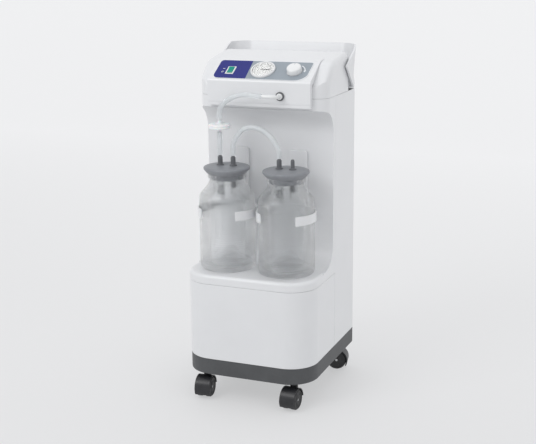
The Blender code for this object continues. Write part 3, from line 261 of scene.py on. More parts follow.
def rod(name, radius, low, high, steps=64, axis="Z", centre=(0, 0, 0)):
    return lathe(name, [(0, low), (radius, low), (radius, high), (0, high)], steps, axis, centre)


def softened(points, radius, steps=4):
    """The same open profile with its inner corners rounded."""
    result = [points[0]]
    for before, here, after in zip(points, points[1:], points[2:]):
        a, b, c = Vector(before), Vector(here), Vector(after)
        reach = min(radius, (a - b).length * 0.45, (c - b).length * 0.45)
        start, end = b + (a - b).normalized() * reach, b + (c - b).normalized() * reach
        for i in range(steps + 1):
            t = i / steps
            point = start * (1 - t) ** 2 + b * 2 * t * (1 - t) + end * t ** 2
            result.append((point.x, point.y))
    result.append(points[-1])
    return result


def evaluated_mesh(obj):
    bpy.context.view_layer.update()
    return bpy.data.meshes.new_from_object(obj.evaluated_get(bpy.context.evaluated_depsgraph_get()))


def bake(obj):
    """Applies an object's modifiers to its mesh."""
    mesh = evaluated_mesh(obj)
    obj.modifiers.clear()
    obj.data = mesh
    return obj


def as_mesh(name, holder):
    """Turns a curve or a text into a mesh object."""
    mesh = evaluated_mesh(holder)
    bpy.data.objects.remove(holder, do_unlink=True)
    return link(bpy.data.objects.new(name, mesh))


def tube(name, route, radius):
    """A round curve along the route, with its ends capped."""
    curve = bpy.data.curves.new(name, "CURVE")
    curve.dimensions = "3D"
    curve.bevel_depth = radius
    curve.bevel_resolution = 8
    curve.use_fill_caps = True
    spline = curve.splines.new("POLY")
    spline.points.add(len(route) - 1)
    for point, co in zip(spline.points, route):
        point.co = (*co, 1)
    return link(bpy.data.objects.new(name, curve))


def combine(obj, operation, *tools):
    for tool in tools:
        modifier = obj.modifiers.new(operation.lower(), "BOOLEAN")
        modifier.operation = operation
        modifier.solver = "EXACT"
        modifier.object = tool
    bake(obj)
    for tool in tools:
        bpy.data.objects.remove(tool, do_unlink=True)
    return obj


def cut(obj, *tools):
    return combine(obj, "DIFFERENCE", *tools)


def join(obj, *tools):
    return combine(obj, "UNION", *tools)


def round_edges(obj, width, segments, picks):
    """Bevels the edges whose two ends pass the given test."""
    mesh = obj.data
    layer = mesh.attributes.new("bevel_weight_edge", "FLOAT", "EDGE")
    for edge in mesh.edges:
        start, end = (mesh.vertices[v].co for v in edge.vertices)
        layer.data[edge.index].value = picks(start, end)
    bevel = obj.modifiers.new("rounding", "BEVEL")
    bevel.limit_method = "WEIGHT"
    bevel.width = width
    bevel.segments = segments
    return bake(obj)


def ease(obj, width, segments=2, angle=50):
    """Takes the sharp edge off every corner of a moulding."""
    bevel = obj.modifiers.new("ease", "BEVEL")
    bevel.limit_method = "ANGLE"
    bevel.angle_limit = math.radians(angle)
    bevel.width = width
    bevel.segments = segments
    bevel.use_clamp_overlap = True
    return bake(obj)


def ease_seam(obj, height, width, segments=2):
    """Rounds only the sharp edges that lie at one height, where two mouldings meet."""
    shape = bmesh.new()
    shape.from_mesh(obj.data)
    edges = [edge for edge in shape.edges
             if all(abs(v.co.z - height) < 2e-5 for v in edge.verts) and edge.calc_face_angle(0.0) > 1.2
             and min(v.co.y for v in edge.verts) < SEAM_Y - 0.002]
    bmesh.ops.bevel(shape, geom=edges, offset=width, segments=segments, profile=0.5, affect="EDGES",
                    clamp_overlap=True)
    shape.to_mesh(obj.data)
    shape.free()
    return obj


def merge(name, objects):
    """Several loose meshes as one piece."""
    shape = bmesh.new()
    for obj in objects:
        shape.from_mesh(obj.data)
        bpy.data.objects.remove(obj, do_unlink=True)
    return from_shape(name, shape)


def piece(obj, finish, body="cabinet", nodes=(), sharp=32, weighted=True, shift=FRAME_SHIFT):
    """Puts a finished shape in place on its body, shaded smooth up to its sharp edges."""
    mesh = obj.data
    mesh.transform(shift @ obj.matrix_world)
    obj.matrix_world = Matrix.Identity(4)
    mesh.materials.clear()
    mesh.materials.append(MATS[finish])
    mesh.shade_smooth()
    mesh.set_sharp_from_angle(angle=math.radians(sharp))
    if weighted:
        weights = obj.modifiers.new("weighted", "WEIGHTED_NORMAL")
        weights.keep_sharp = True
    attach(obj, body)
    if nodes:
        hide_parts(*nodes)
    return obj


# ---- camera ----
CAMERA_PLACE = (0.9926, -2.4731, 1.0876)
CAMERA_RIGHT = (0.92763, 0.37336, -0.00991)
CAMERA_UP = (-0.08228, 0.23016, 0.96967)
CAMERA_FORWARD = (-0.36432, 0.89868, -0.24422)
camera_data = bpy.data.cameras.new("camera")
camera_data.lens = 74.0
camera_data.sensor_width = 36.0
camera_data.shift_x = 1 / 536
camera = link(bpy.data.objects.new("camera", camera_data))
camera.matrix_world = Matrix([(*[CAMERA_RIGHT[i], CAMERA_UP[i], -CAMERA_FORWARD[i]], CAMERA_PLACE[i])
                              for i in range(3)] + [(0, 0, 0, 1)])
bpy.context.scene.camera = camera


# ---- hoses ----
PORT_HOSE = [
    (0.0207, -0.0975, 0.7440), (0.012, -0.0976, 0.7445), (-0.004, -0.0975, 0.7460),
    (-0.022, -0.0970, 0.7465), (-0.041, -0.0958, 0.7440), (-0.058, -0.0938, 0.7370),
    (-0.0735, -0.0908, 0.7280), (-0.0865, -0.0878, 0.7160), (-0.0930, -0.0858, 0.7020),
    (-0.0934, -0.0856, 0.6835),
]
JAR_LINK_HOSE = [
    (-0.0594, -0.0856, 0.5973), (-0.0594, -0.0856, 0.6120), (-0.0575, -0.0853, 0.6270),
    (-0.0510, -0.0845, 0.6420), (-0.0385, -0.0835, 0.6580), (-0.0200, -0.0828, 0.6665),
    (0.0000, -0.0826, 0.6670), (0.0200, -0.0828, 0.6600), (0.0380, -0.0835, 0.6460),
    (0.0510, -0.0845, 0.6290), (0.0588, -0.0855, 0.6120), (0.0594, -0.0856, 0.5973),
]
FILTER_X, FILTER_Z = -0.0934, 0.6665
FILTER_HOSE = [(FILTER_X, JAR_Y, 0.5973), (FILTER_X, JAR_Y, 0.6155), (FILTER_X, JAR_Y, 0.6340),
               (FILTER_X, JAR_Y, 0.6525)]


def smooth_route(points, spacing):
    """Points a set distance apart on a Catmull-Rom curve through the route points."""
    knots = [Vector(p) for p in points]
    knots = [knots[0] * 2 - knots[1]] + knots + [knots[-1] * 2 - knots[-2]]
    fine = []
    for i in range(1, len(knots) - 2):
        a, b, c, d = knots[i - 1:i + 3]
        for step in range(24):
            t = step / 24
            fine.append(0.5 * (2 * b + (c - a) * t + (2 * a - 5 * b + 4 * c - d) * t * t
                               + (3 * b - a - 3 * c + d) * t ** 3))
    fine.append(knots[-2])
    length = sum((q - p).length for p, q in zip(fine, fine[1:]))
    count = max(2, round(length / spacing))
    route, travelled, target = [fine[0]], 0.0, length / count
    for p, q in zip(fine, fine[1:]):
        step = (q - p).length
        while travelled + step >= target - 1e-9 and len(route) < count:
            route.append(p.lerp(q, (target - travelled) / step))
            target += length / count
        travelled += step
    route.append(fine[-1])
    return route


def hose(name, points, node):
    route = [FRAME_SHIFT @ p for p in smooth_route(points, 0.005)]
    obj = tube(name, route, HOSE_RADIUS)
    obj.data.materials.append(MATS["hose"])
    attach(obj, "cabinet")
    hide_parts(node)
    return obj, route


def free_hose(name, points, node):
    obj, route = hose(name, points, node)


def filter_side(side):
    """Half the disc's profile, from its spigot to the joint line; side is 1 above and -1 below."""
    spigot = 0.0167 if side > 0 else 0.0137
    steps = [(0, spigot), (0.0040, spigot), (0.0046, 0.0085), (0.0085, 0.0072), (0.0241, 0.0056),
             (0.0264, 0.0044), (0.0264, 0.0010), (0.0258, 0.0004)]
    return [(radius, FILTER_Z + side * height) for radius, height in steps]


filter_profile = softened(filter_side(1) + filter_side(-1)[::-1], 0.0012)
filter_disc = lathe("filter_housing", filter_profile, 96, centre=(FILTER_X, JAR_Y, 0))
ribs = []
for index in range(24):
    angle = 2 * math.pi * index / 24
    for side in (1, -1):
        low, high = sorted((FILTER_Z + side * 0.0058, FILTER_Z + side * 0.0068))
        rib = block(f"filter_rib_{index}_{side}", (0.0105, -0.0004, low), (0.0225, 0.0004, high))
        rib.data.transform(Matrix.Translation((FILTER_X, JAR_Y, 0)) @ Matrix.Rotation(angle, 4, "Z"))
        ribs.append(rib)
filter_ribs = merge("filter_ribs", ribs)
piece(filter_disc, "filter", nodes=["bacterial_filter"])
piece(filter_ribs, "filter")
filter_tube, _ = hose("filter_tube", FILTER_HOSE, "filter_hose")
free_hose("vacuum_hose", PORT_HOSE, "port_hose")
free_hose("link_tube", JAR_LINK_HOSE, "jar_link_hose")


# ---- cabinet mouldings ----
def corner_tools(name, inset):
    """Upright cutters that round the head's two front corners in plan."""
    reach = 0.01
    right, front = HALF_WIDTH + reach, HEAD_FRONT_Y - reach
    centre = (HALF_WIDTH - HEAD_CORNER, HEAD_FRONT_Y + HEAD_CORNER)
    outline = arc(centre, HEAD_CORNER - inset, -90, 0, 20)
    outline += [(right, centre[1]), (right, front), (centre[0], front)]
    return [prism(f"{name}_{sign}", [(sign * x, y) for x, y in outline], 0.64, 0.90) for sign in (-1, 1)]


def body_outline(inset=0.0, steps=20):
    """Plan of the cabinet, anticlockwise from its rear right corner."""
    half, front, rear = HALF_WIDTH - inset, FRONT_Y + inset, REAR_Y - inset
    large, small = FRONT_RADIUS - inset, max(REAR_RADIUS - inset, 0.004)
    points = arc((half - small, rear - small), small, 0, 90, 8)
    points += arc((-half + small, rear - small), small, 90, 180, 8)
    points += arc((-half + large, front + large), large, 180, 270, steps)
    points += arc((half - large, front + large), large, 270, 360, steps)
    return points


def base_tray():
    tray = prism("base_moulding", body_outline(), BASE_BOTTOM, BASE_TOP)
    tray = round_edges(tray, 0.003, 4, lambda a, b: 1.0 if max(a.z, b.z) < BASE_BOTTOM + 1e-5 else 0.0)
    pocket = prism("base_pocket", body_outline(0.005), BASE_BOTTOM + 0.006, BASE_TOP + 0.01)
    cut(tray, pocket)
    stems = [rod("stem_hole", 0.0058, 0.05, 0.09, 32, centre=(x, y, 0)) for _, x, y, _ in CASTERS]
    cut(tray, *stems)
    piece(tray, "base", nodes=["base_tray"])


def front_cover():
    rear = SEAM_Y - GAP
    def side(offset):
        large = FRONT_RADIUS
        line = [(-HALF_WIDTH + offset, rear)]
        line += arc((-HALF_WIDTH + large, FRONT_Y + large), large - offset, 180, 270, 24)
        line += arc((HALF_WIDTH - large, FRONT_Y + large), large - offset, 270, 360, 24)
        return line + [(HALF_WIDTH - offset, rear)]
    cover = ring_prism("front_cover_moulding", side(0.0), side(SKIN), BASE_TOP + GAP, SHELF_SEAM_Z - GAP)
    ease(cover, SEAM_ROUNDING, 3)
    piece(cover, "shell", nodes=["lower_front_cover"])


def column_profile(inset, front_stop, rear_stop, bottom, top):
    foot_centre = (COLUMN_FRONT_Y - COVE_RADIUS, SHELF_TOP_Z - 0.001 + COVE_RADIUS)
    head_centre = (COLUMN_FRONT_Y - COVE_RADIUS, HEAD_BOTTOM_Z - COVE_RADIUS)
    radius = COVE_RADIUS + inset
    foot = arc(foot_centre, radius, -100, 0, 28)
    points = [(rear_stop, bottom), (foot[0][0], bottom)] + foot
    points += arc(head_centre, radius, 0, 88, 24)
    points += [(front_stop, HEAD_BOTTOM_Z + inset), (front_stop, top), (rear_stop, top)]
    return points


def bay_moulding():
    rear = SEAM_Y - GAP
    outline = [p for p in body_outline(steps=24) if p[1] < rear] + [(HALF_WIDTH, rear), (-HALF_WIDTH, rear)]
    shelf = prism("bay_moulding", outline, SHELF_SEAM_Z, SHELF_TOP_Z)

    def top_edge(start, end):
        at_top = min(start.z, end.z) > SHELF_TOP_Z - 1e-4
        at_rear = min(start.y, end.y) > rear - 1e-4
        return 1.0 if at_top and not at_rear else 0.0
    round_edges(shelf, 0.009, 8, top_edge)
    profile = column_profile(0.0, HEAD_FRONT_Y, rear, SHELF_SEAM_Z + 0.005, HEAD_SEAM_Z)
    column = prism("bay_column", profile, -HALF_WIDTH + 1e-4, HALF_WIDTH - 1e-4, "X")

    def side_edge(start, end):
        on_side = abs(start.x - end.x) < 1e-6
        in_front = min(start.y, end.y) < rear - 0.001
        inside = max(start.z, end.z) < SHELF_TOP_Z - 0.003
        at_top = min(start.z, end.z) > HEAD_SEAM_Z - 1e-4
        return 1.0 if on_side and in_front and not inside and not at_top else 0.0
    round_edges(column, 0.016, 8, side_edge)
    wells = [rod("well", 0.0702, 0.3195, 0.42, 128, centre=(x, JAR_Y, 0)) for x in (-JAR_X, JAR_X)]
    join(shelf, column)
    cut(shelf, *wells, *corner_tools("bay_corner", 0.0))
    ease_seam(shelf, SHELF_SEAM_Z, SEAM_ROUNDING)
    ease_seam(shelf, HEAD_SEAM_Z, SEAM_ROUNDING)
    piece(shelf, "shell", nodes=["bay_shell"])


def rear_moulding():
    front = SEAM_Y + GAP
    def side(offset):
        line = [(HALF_WIDTH - offset, front)]
        line += arc((HALF_WIDTH - REAR_RADIUS, REAR_Y - REAR_RADIUS), REAR_RADIUS - offset, 0, 90, 12)
        line += arc((-HALF_WIDTH + REAR_RADIUS, REAR_Y - REAR_RADIUS), REAR_RADIUS - offset, 90, 180, 12)
        return line + [(-HALF_WIDTH + offset, front)]
    shell = ring_prism("rear_moulding", side(0.0), side(SKIN), BASE_TOP + GAP, HEAD_SEAM_Z - GAP)
    cut(shell, block("vent_cut", (-0.07, 0.16, 0.150), (0.07, 0.19, 0.250)),
        block("inlet_cut", (0.085, 0.16, 0.150), (0.125, 0.19, 0.185)))
    ease(shell, 0.0009, 2)
    piece(shell, "shell", nodes=["rear_shell"])


def cover_profile(inset, bottom):
    front, rear = HEAD_FRONT_Y + inset, COVER_REAR_Y - inset
    bend, corner = 0.02 - inset, 0.016 - inset
    slope = math.degrees(math.atan2(COVER_SHOULDER_Z - COVER_BEND_Z, COVER_SHOULDER_Y - HEAD_FRONT_Y))
    points = [(front, bottom)]
    points += arc((front + bend, COVER_BEND_Z - 0.008), bend, 180, 180 - slope, 12)
    shoulder = softened([points[-1], (COVER_SHOULDER_Y + inset * 0.6, COVER_SHOULDER_Z - inset),
                         (COVER_SHOULDER_Y + 0.020 + inset * 0.3, COVER_SHOULDER_Z + 0.0055 - inset)],
                        0.012, 6)
    points += shoulder[1:]
    points += arc((rear - corner, COVER_TOP_Z - inset - corner), corner, 98, 0, 14)
    points += [(rear, bottom)]
    return points


def top_moulding():
    bottom = HEAD_SEAM_Z + GAP
    cover = prism("top_cover_moulding", cover_profile(0.0, bottom), -HALF_WIDTH, HALF_WIDTH, "X")

    def side_edge(start, end):
        on_side = abs(start.x - end.x) < 1e-6
        at_bottom = max(start.z, end.z) < bottom + 1e-4
        return 1.0 if on_side and not at_bottom else 0.0
    round_edges(cover, 0.016, 9, side_edge)
    inner = HALF_WIDTH - 0.0065
    hollow = prism("cover_hollow", cover_profile(SKIN, bottom - 0.02), -inner, inner, "X")
    window = FASCIA_HALF + GAP
    window_cut = block("cover_window", (-window, -0.048, 0.75), (window, FASCIA_END_Y + GAP, 0.9))
    cut(hollow, *corner_tools("hollow_corner", SKIN))
    cut(cover, hollow, window_cut, *corner_tools("cover_corner", 0.0))
    ease_seam(cover, bottom, SEAM_ROUNDING)
    piece(cover, "shell", nodes=["top_cover"])


def fascia_face_z(y):
    shoulder_z = FASCIA_BEND_Z + math.tan(FASCIA_TILT) * (FASCIA_SHOULDER_Y - FASCIA_FRONT_Y)
    if y > FASCIA_SHOULDER_Y:
        return shoulder_z + 0.12 * (y - FASCIA_SHOULDER_Y)
    return FASCIA_BEND_Z + math.tan(FASCIA_TILT) * (y - FASCIA_FRONT_Y)


def fascia_moulding():
    back = HEAD_FRONT_Y - GAP
    bend = 0.010
    reach = bend * math.tan(math.radians(30))
    outline = [(FASCIA_FRONT_Y, FASCIA_BOTTOM_Z)]
    outline += arc((FASCIA_FRONT_Y + bend, FASCIA_BEND_Z - reach), bend, 180, 120, 12)
    top = softened([outline[-1], (FASCIA_SHOULDER_Y, fascia_face_z(FASCIA_SHOULDER_Y)),
                    (FASCIA_END_Y, fascia_face_z(FASCIA_END_Y))], 0.008, 6)
    outline += top[1:]
    outline += [(FASCIA_END_Y, fascia_face_z(FASCIA_END_Y) - 0.008)]
    outline += [(FASCIA_SHOULDER_Y, fascia_face_z(FASCIA_SHOULDER_Y) - 0.009)]
    outline += [(FASCIA_SHOULDER_Y, 0.8040), (-0.0474, 0.7660), (-0.0474, 0.7720), (back, 0.7700)]
    outline += [(back, FASCIA_BOTTOM_Z)]
    fascia = prism("fascia_moulding", outline, -FASCIA_HALF, FASCIA_HALF, "X")

    def corner(start, end):
        on_side = abs(start.x - end.x) < 1e-6
        front = max(start.y, end.y) < FASCIA_FRONT_Y + 1e-5
        return 1.0 if on_side and front else 0.0
    round_edges(fascia, 0.014, 12, corner)
    skin = 0.0025
    front = FASCIA_FRONT_Y + skin
    inner = [(front, FASCIA_BOTTOM_Z + skin), (front, FASCIA_BEND_Z - 0.004)]
    inner += [(FASCIA_SHOULDER_Y, fascia_face_z(FASCIA_SHOULDER_Y) - skin * 1.2)]
    inner += [(FASCIA_END_Y - skin, fascia_face_z(FASCIA_END_Y - skin) - skin * 1.2)]
    inner += [(FASCIA_END_Y - skin, 0.78), (back + 0.02, 0.70), (back + 0.02, FASCIA_BOTTOM_Z + skin)]
    hollow = prism("fascia_hollow", inner, -FASCIA_HALF + 0.006, FASCIA_HALF - 0.006, "X")
    groove = block("fascia_groove", (-0.2, FASCIA_FRONT_Y - 0.01, 0.7232),
                   (0.2, FASCIA_FRONT_Y + 0.0008, 0.7240))
    tools = [hollow, groove]
    for name, x, radius in (("gauge", 0.0, GAUGE_RADIUS - 0.004), ("knob", KNOB_X, 0.0055)):
        hole = rod(f"{name}_hole", radius, -0.02, 0.02)
        hole.data.transform(panel_matrix(x, PANEL_Y))
        tools.append(hole)
    slot = block("switch_hole", (-SWITCH_WIDTH / 2 + 0.001, -SWITCH_LENGTH / 2 + 0.001, -0.02),
                 (SWITCH_WIDTH / 2 - 0.001, SWITCH_LENGTH / 2 - 0.001, 0.02))
    slot.data.transform(panel_matrix(SWITCH_X, SWITCH_Y))
    port = rod("port_hole", 0.0062, -0.01, 0.01, 48, "Y", (PORT_X, FASCIA_FRONT_Y, PORT_Z))
    cut(fascia, *tools, slot, port)
    piece(fascia, "shell", nodes=["control_fascia"])


def panel_matrix(x, y):
    """Frame on the tilted face: X across, Y up the slope, Z out of the panel."""
    return Matrix.Translation((x, y, fascia_face_z(y))) @ Matrix.Rotation(FASCIA_TILT, 4, "X")


# ---- handle ----
def handle_rear_y(z):
    t = (z - HANDLE_LOW) / (HANDLE_HIGH - HANDLE_LOW)
    flare = 0.009 * math.exp(-((t - 0.10) / 0.12) ** 2)
    return 0.1785 + flare + 0.018 * max(0.0, (t - 0.30) / 0.70) ** 1.2


def handle_front_y(z):
    tip_z, tip_y = 0.8005, 0.078
    if z < tip_z:
        return tip_y + (0.137 - tip_y) * (tip_z - z) / (tip_z - HANDLE_LOW)
    return tip_y + (0.160 - tip_y) * (z - tip_z) / (HANDLE_HIGH - tip_z)


def handle_plan(z):
    """Right half of the band's outer face in plan, from the arm's front end round to the rear."""
    front, corner = handle_front_y(z), HANDLE_CORNER
    centre = (HANDLE_HALF - corner, handle_rear_y(z) - corner)
    if front < centre[1] - 0.001:
        return [(HANDLE_HALF, front)] + arc(centre, corner, 0, 90, 24)
    start = math.degrees(math.asin((front - centre[1]) / corner))
    return arc(centre, corner, start, 90, 25)


def handle_moulding():
    shape = bmesh.new()
    rows = []
    levels = [i / 32 for i in range(33)]
    levels[18] = 0.5625
    for level in levels:
        z = HANDLE_LOW + level * (HANDLE_HIGH - HANDLE_LOW)
        plan = handle_plan(z)
        plan += [(-x, y) for x, y in reversed(plan)]
        rows.append([shape.verts.new((x, y, z)) for x, y in plan])
    for lower, upper in zip(rows, rows[1:]):
        for i in range(len(lower) - 1):
            shape.faces.new((lower[i], lower[i + 1], upper[i + 1], upper[i]))
    band = from_shape("handle_moulding", shape)
    wall = band.modifiers.new("wall", "SOLIDIFY")
    wall.thickness = HANDLE_WALL
    wall.offset = -1.0
    bake(band)
    ease(band, 0.0016, 4, 60)
    front, half = COVER_REAR_Y + 0.003, HANDLE_HALF - HANDLE_WALL + 0.001
    corner = HANDLE_CORNER - HANDLE_WALL + 0.001
    centre_y = handle_rear_y(HANDLE_LOW) - HANDLE_CORNER
    plan = [(half, front)] + [p for p in arc((half - corner, centre_y), corner, 0, 90, 20) if p[1] > front]
    plan += [(-x, y) for x, y in reversed(plan)]
    join(band, prism("handle_floor", plan, HANDLE_LOW, HANDLE_LOW + 0.003))
    piece(band, "shell", nodes=["handle"])


base_tray()
front_cover()
bay_moulding()
rear_moulding()
top_moulding()
fascia_moulding()
handle_moulding()


# ---- panel: label, switch, gauge, knob ----
def on_panel(obj, x, y):
    obj.data.transform(panel_matrix(x, y))
    return obj


def label_outline(grow=0.0):
    left, right, bottom, top = -0.121 - grow, 0.118 + grow, -0.036 - grow, 0.037 + grow
    points = arc((left + 0.014, bottom + 0.014), 0.014, 180, 270, 12)
    points += arc((right - 0.030, bottom + 0.030), 0.030, 270, 345, 16)
    points += arc((right - 0.004, top - 0.004), 0.004, 0, 90, 6)
    points += arc((left + 0.008, top - 0.008), 0.008, 90, 180, 10)
    return points


def label_tools(name):
    tools = []
    for index, (x, radius) in enumerate(((0.0, GAUGE_RADIUS + GAP), (KNOB_X, KNOB_RADIUS + 0.001))):
        tools.append(rod(f"{name}_hole_{index}", radius, -0.01, 0.01, 96, centre=(x, 0, 0)))
    slope = SWITCH_Y - PANEL_Y
    middle = slope / math.cos(FASCIA_TILT)
    tools.append(block(f"{name}_hole_switch",
                       (SWITCH_X - SWITCH_WIDTH / 2 - GAP, middle - SWITCH_LENGTH / 2 - GAP, -0.01),
                       (SWITCH_X + SWITCH_WIDTH / 2 + GAP, middle + SWITCH_LENGTH / 2 + GAP, 0.01)))
    return tools


def label():
    low, high = GAP, GAP + 0.0006
    edge = prism("label_border", label_outline(), low, high - 0.00015)
    cut(edge, *label_tools("border"))
    piece(on_panel(edge, 0, PANEL_Y), "print", nodes=["panel_label"])
    left_cut = [(-0.2, -0.2), (-0.0335 - 0.0007, -0.2), (-0.0335 - 0.0007, -0.036), (-0.0365 - 0.0007, 0.037),
                (-0.0365 - 0.0007, 0.2), (-0.2, 0.2)]
    for name, finish, sign in (("label_blue_field", "blue", -1), ("label_grey_field", "grey", 1)):
        field = prism(name, label_outline(-0.0011), low, high)
        split = prism(f"{name}_split", left_cut, -0.01, 0.01)
        tools = label_tools(name)
        if sign < 0:
            combine(field, "INTERSECT", split)
            cut(field, tools[2])
            for tool in tools[:2]:
                bpy.data.objects.remove(tool, do_unlink=True)
        else:
            cut(field, split, *tools[:2])
            bpy.data.objects.remove(tools[2], do_unlink=True)
        piece(on_panel(field, 0, PANEL_Y), finish)
    marks = []
    middle = (SWITCH_Y - PANEL_Y) / math.cos(FASCIA_TILT)
    marks.append(block("mark_on", (-0.1045, middle + 0.0055, high),
                       (-0.0985, middle + 0.0068, high + PRINT_DEPTH)))
    ring = arc((-0.1015, middle - 0.0060), 0.0027, 0, 350, 30)
    hole = arc((-0.1015, middle - 0.0060), 0.0018, 0, 350, 30)
    marks.append(ring_prism("mark_off", ring, hole, high, high + PRINT_DEPTH))
    start, end = 62, 8
    sweep = arc((KNOB_X, 0), 0.0262, start, end, 24)
    inside = arc((KNOB_X, 0), 0.0236, start, end, 24)
    marks.append(ring_prism("mark_turn", sweep, inside, high, high + PRINT_DEPTH))
    tip = arc((KNOB_X, 0), 0.0249, end - 14, end - 14, 1)[0]
    outer, inner = arc((KNOB_X, 0), 0.0288, end, end, 1)[0], arc((KNOB_X, 0), 0.0212, end, end, 1)[0]
    marks.append(prism("mark_arrow", [outer, inner, tip], high, high + PRINT_DEPTH))
    piece(on_panel(merge("label_marks", marks), 0, PANEL_Y), "print")


def switch():
    half = (SWITCH_WIDTH / 2, SWITCH_LENGTH / 2)
    frame_piece = block("switch_bezel", (-half[0], -half[1], GAP), (half[0], half[1], 0.0022), 0.0006, 3)
    well = block("switch_body", (-half[0] + 0.0015, -half[1] + 0.0015, -0.018),
                 (half[0] - 0.0015, half[1] - 0.0015, 0.001))
    cavity = block("switch_cavity", (-half[0] + 0.003, -half[1] + 0.003, -0.012),
                   (half[0] - 0.003, half[1] - 0.003, 0.01))
    join(frame_piece, well)
    cut(frame_piece, cavity)
    piece(on_panel(frame_piece, SWITCH_X, SWITCH_Y), "control", nodes=["switch_housing"])
    reach = half[1] - 0.0038
    outline = [(-reach, -0.002), (reach, -0.002), (reach, 0.0045)]
    outline += [(reach * (1 - 2 * i / 16), 0.0045 - 0.0013 * i / 16 - 0.0016 * math.sin(math.pi * i / 16))
                for i in range(1, 16)]
    outline += [(-reach, 0.0032)]
    rocker = prism("rocker_cap", outline, -half[0] + 0.0035, half[0] - 0.0035, "X")
    ease(rocker, 0.0005, 3, 40)
    piece(on_panel(rocker, SWITCH_X, SWITCH_Y), "rocker", "rocker", nodes=["switch_rocker"])


def gauge():
    r = GAUGE_RADIUS
    profile = softened([(0.0, 0.0008), (r - 0.0045, 0.0008), (r - 0.0045, 0.0040), (r - 0.0035, 0.0058),
                        (r - 0.0015, 0.0060), (r, 0.0042), (r, GAP), (r - 0.006, GAP), (r - 0.006, -0.022),
                        (0.0, -0.022)], 0.0009)
    piece(on_panel(lathe("gauge_body", profile, 128), 0, PANEL_Y), "control",
          nodes=["gauge_case"])
    face = lathe("gauge_face", softened([(0, 0.0020), (r - 0.0050, 0.0020), (r - 0.0048, 0.0018),
                                         (r - 0.0048, 0.0011), (0, 0.0011)], 0.0001), 96)
    piece(on_panel(face, 0, PANEL_Y), "dial", nodes=["gauge_dial"])
    scale = []
    low, high = 0.0020, 0.0021
    for index in range(51):
        angle = math.radians(-30 + 240 * index / 50)
        major, middle = index % 10 == 0, index % 5 == 0
        inner = 0.0170 if major else 0.0182 if middle else 0.0190
        width = 0.00032 if major else 0.00018
        tick = block(f"tick_{index}", (inner, -width, low), (0.0208, width, high))
        tick.data.transform(Matrix.Rotation(angle, 4, "Z"))
        scale.append(tick)
    rim, inside = arc((0, 0), 0.0212, -30, 210, 80), arc((0, 0), 0.0208, -30, 210, 80)
    scale.append(ring_prism("scale_rim", rim, inside, low, high))
    for index in range(6):
        angle = math.radians(-30 + 48 * index)
        text = bpy.data.curves.new(f"figure_{index}", "FONT")
        text.body = str(index * 20)
        text.size = 0.0042
        text.align_x, text.align_y = "CENTER", "CENTER"
        text.extrude = 0.00005
        text.resolution_u = 3
        figure = as_mesh(f"figure_mesh_{index}", link(bpy.data.objects.new(f"figure_{index}", text)))
        place = (0.0137 * math.cos(angle), 0.0137 * math.sin(angle), low + 0.00005)
        figure.data.transform(Matrix.Translation(place))
        scale.append(figure)
    piece(on_panel(merge("gauge_scale", scale), 0, PANEL_Y), "ink")
    outline = [(-0.0075, -0.0012), (-0.0065, -0.0016), (-0.002, -0.0013)] + arc((0, 0), 0.0020, -120, -60, 4)
    outline += [(0.003, -0.0012), (0.019, -0.00038), (0.0195, 0), (0.019, 0.00038), (0.003, 0.0012)]
    outline += arc((0, 0), 0.0020, 60, 120, 4) + [(-0.002, 0.0013), (-0.0065, 0.0016), (-0.0075, 0.0012)]
    outline = [(u * 0.97 if u > 0 else u * 0.8, v) for u, v in outline]
    pointer = prism("gauge_pointer", outline, 0.0028, 0.0034)
    hub = lathe("pointer_hub", softened([(0, 0.0039), (0.0016, 0.0039), (0.0022, 0.0034), (0.0022, 0.0027),
                                         (0, 0.0027)], 0.0003), 32)
    piece(on_panel(merge("gauge_pointer_arm", [pointer, hub]), 0, PANEL_Y), "needle", "needle",
          nodes=["gauge_needle"])
    dome = lathe("gauge_glass", [(0, 0.0058), (0.010, 0.00573), (0.018, 0.0056), (r - 0.0050, 0.0054),
                                 (r - 0.0050, 0.0042), (0.018, 0.0044), (0.010, 0.00453), (0, 0.0046)], 96)
    piece(on_panel(dome, 0, PANEL_Y), "lens", nodes=["gauge_lens"])


def regulator():
    r = KNOB_RADIUS
    profile = softened([(0, 0.0150), (r - 0.0045, 0.0146), (r - 0.0012, 0.0126), (r, 0.0022), (r, 0.0014),
                        (0.0075, 0.0014), (0.0075, 0.0060), (0.0, 0.0060)], 0.0016, 6)
    knob = lathe("knob_cap", profile, 96)
    grips = []
    for index in range(30):
        grip = lathe(f"grip_{index}", [(0, 0.001), (0.0007, 0.001), (0.0006, 0.0105), (0, 0.0112)], 12,
                     centre=(r + 0.0002, 0, 0))
        grip.data.transform(Matrix.Rotation(math.radians(12 * index), 4, "Z"))
        grips.append(grip)
    cut(knob, merge("knob_grips", grips))
    piece(on_panel(knob, KNOB_X, PANEL_Y), "control", "knob", nodes=["regulator_knob"])
    line = block("knob_line", (-0.0006, 0.0085, 0.0146), (0.0006, r - 0.0042, 0.0149), 0.0001, 1)
    piece(on_panel(line, KNOB_X, PANEL_Y), "grey", "knob")


label()
switch()
gauge()
regulator()


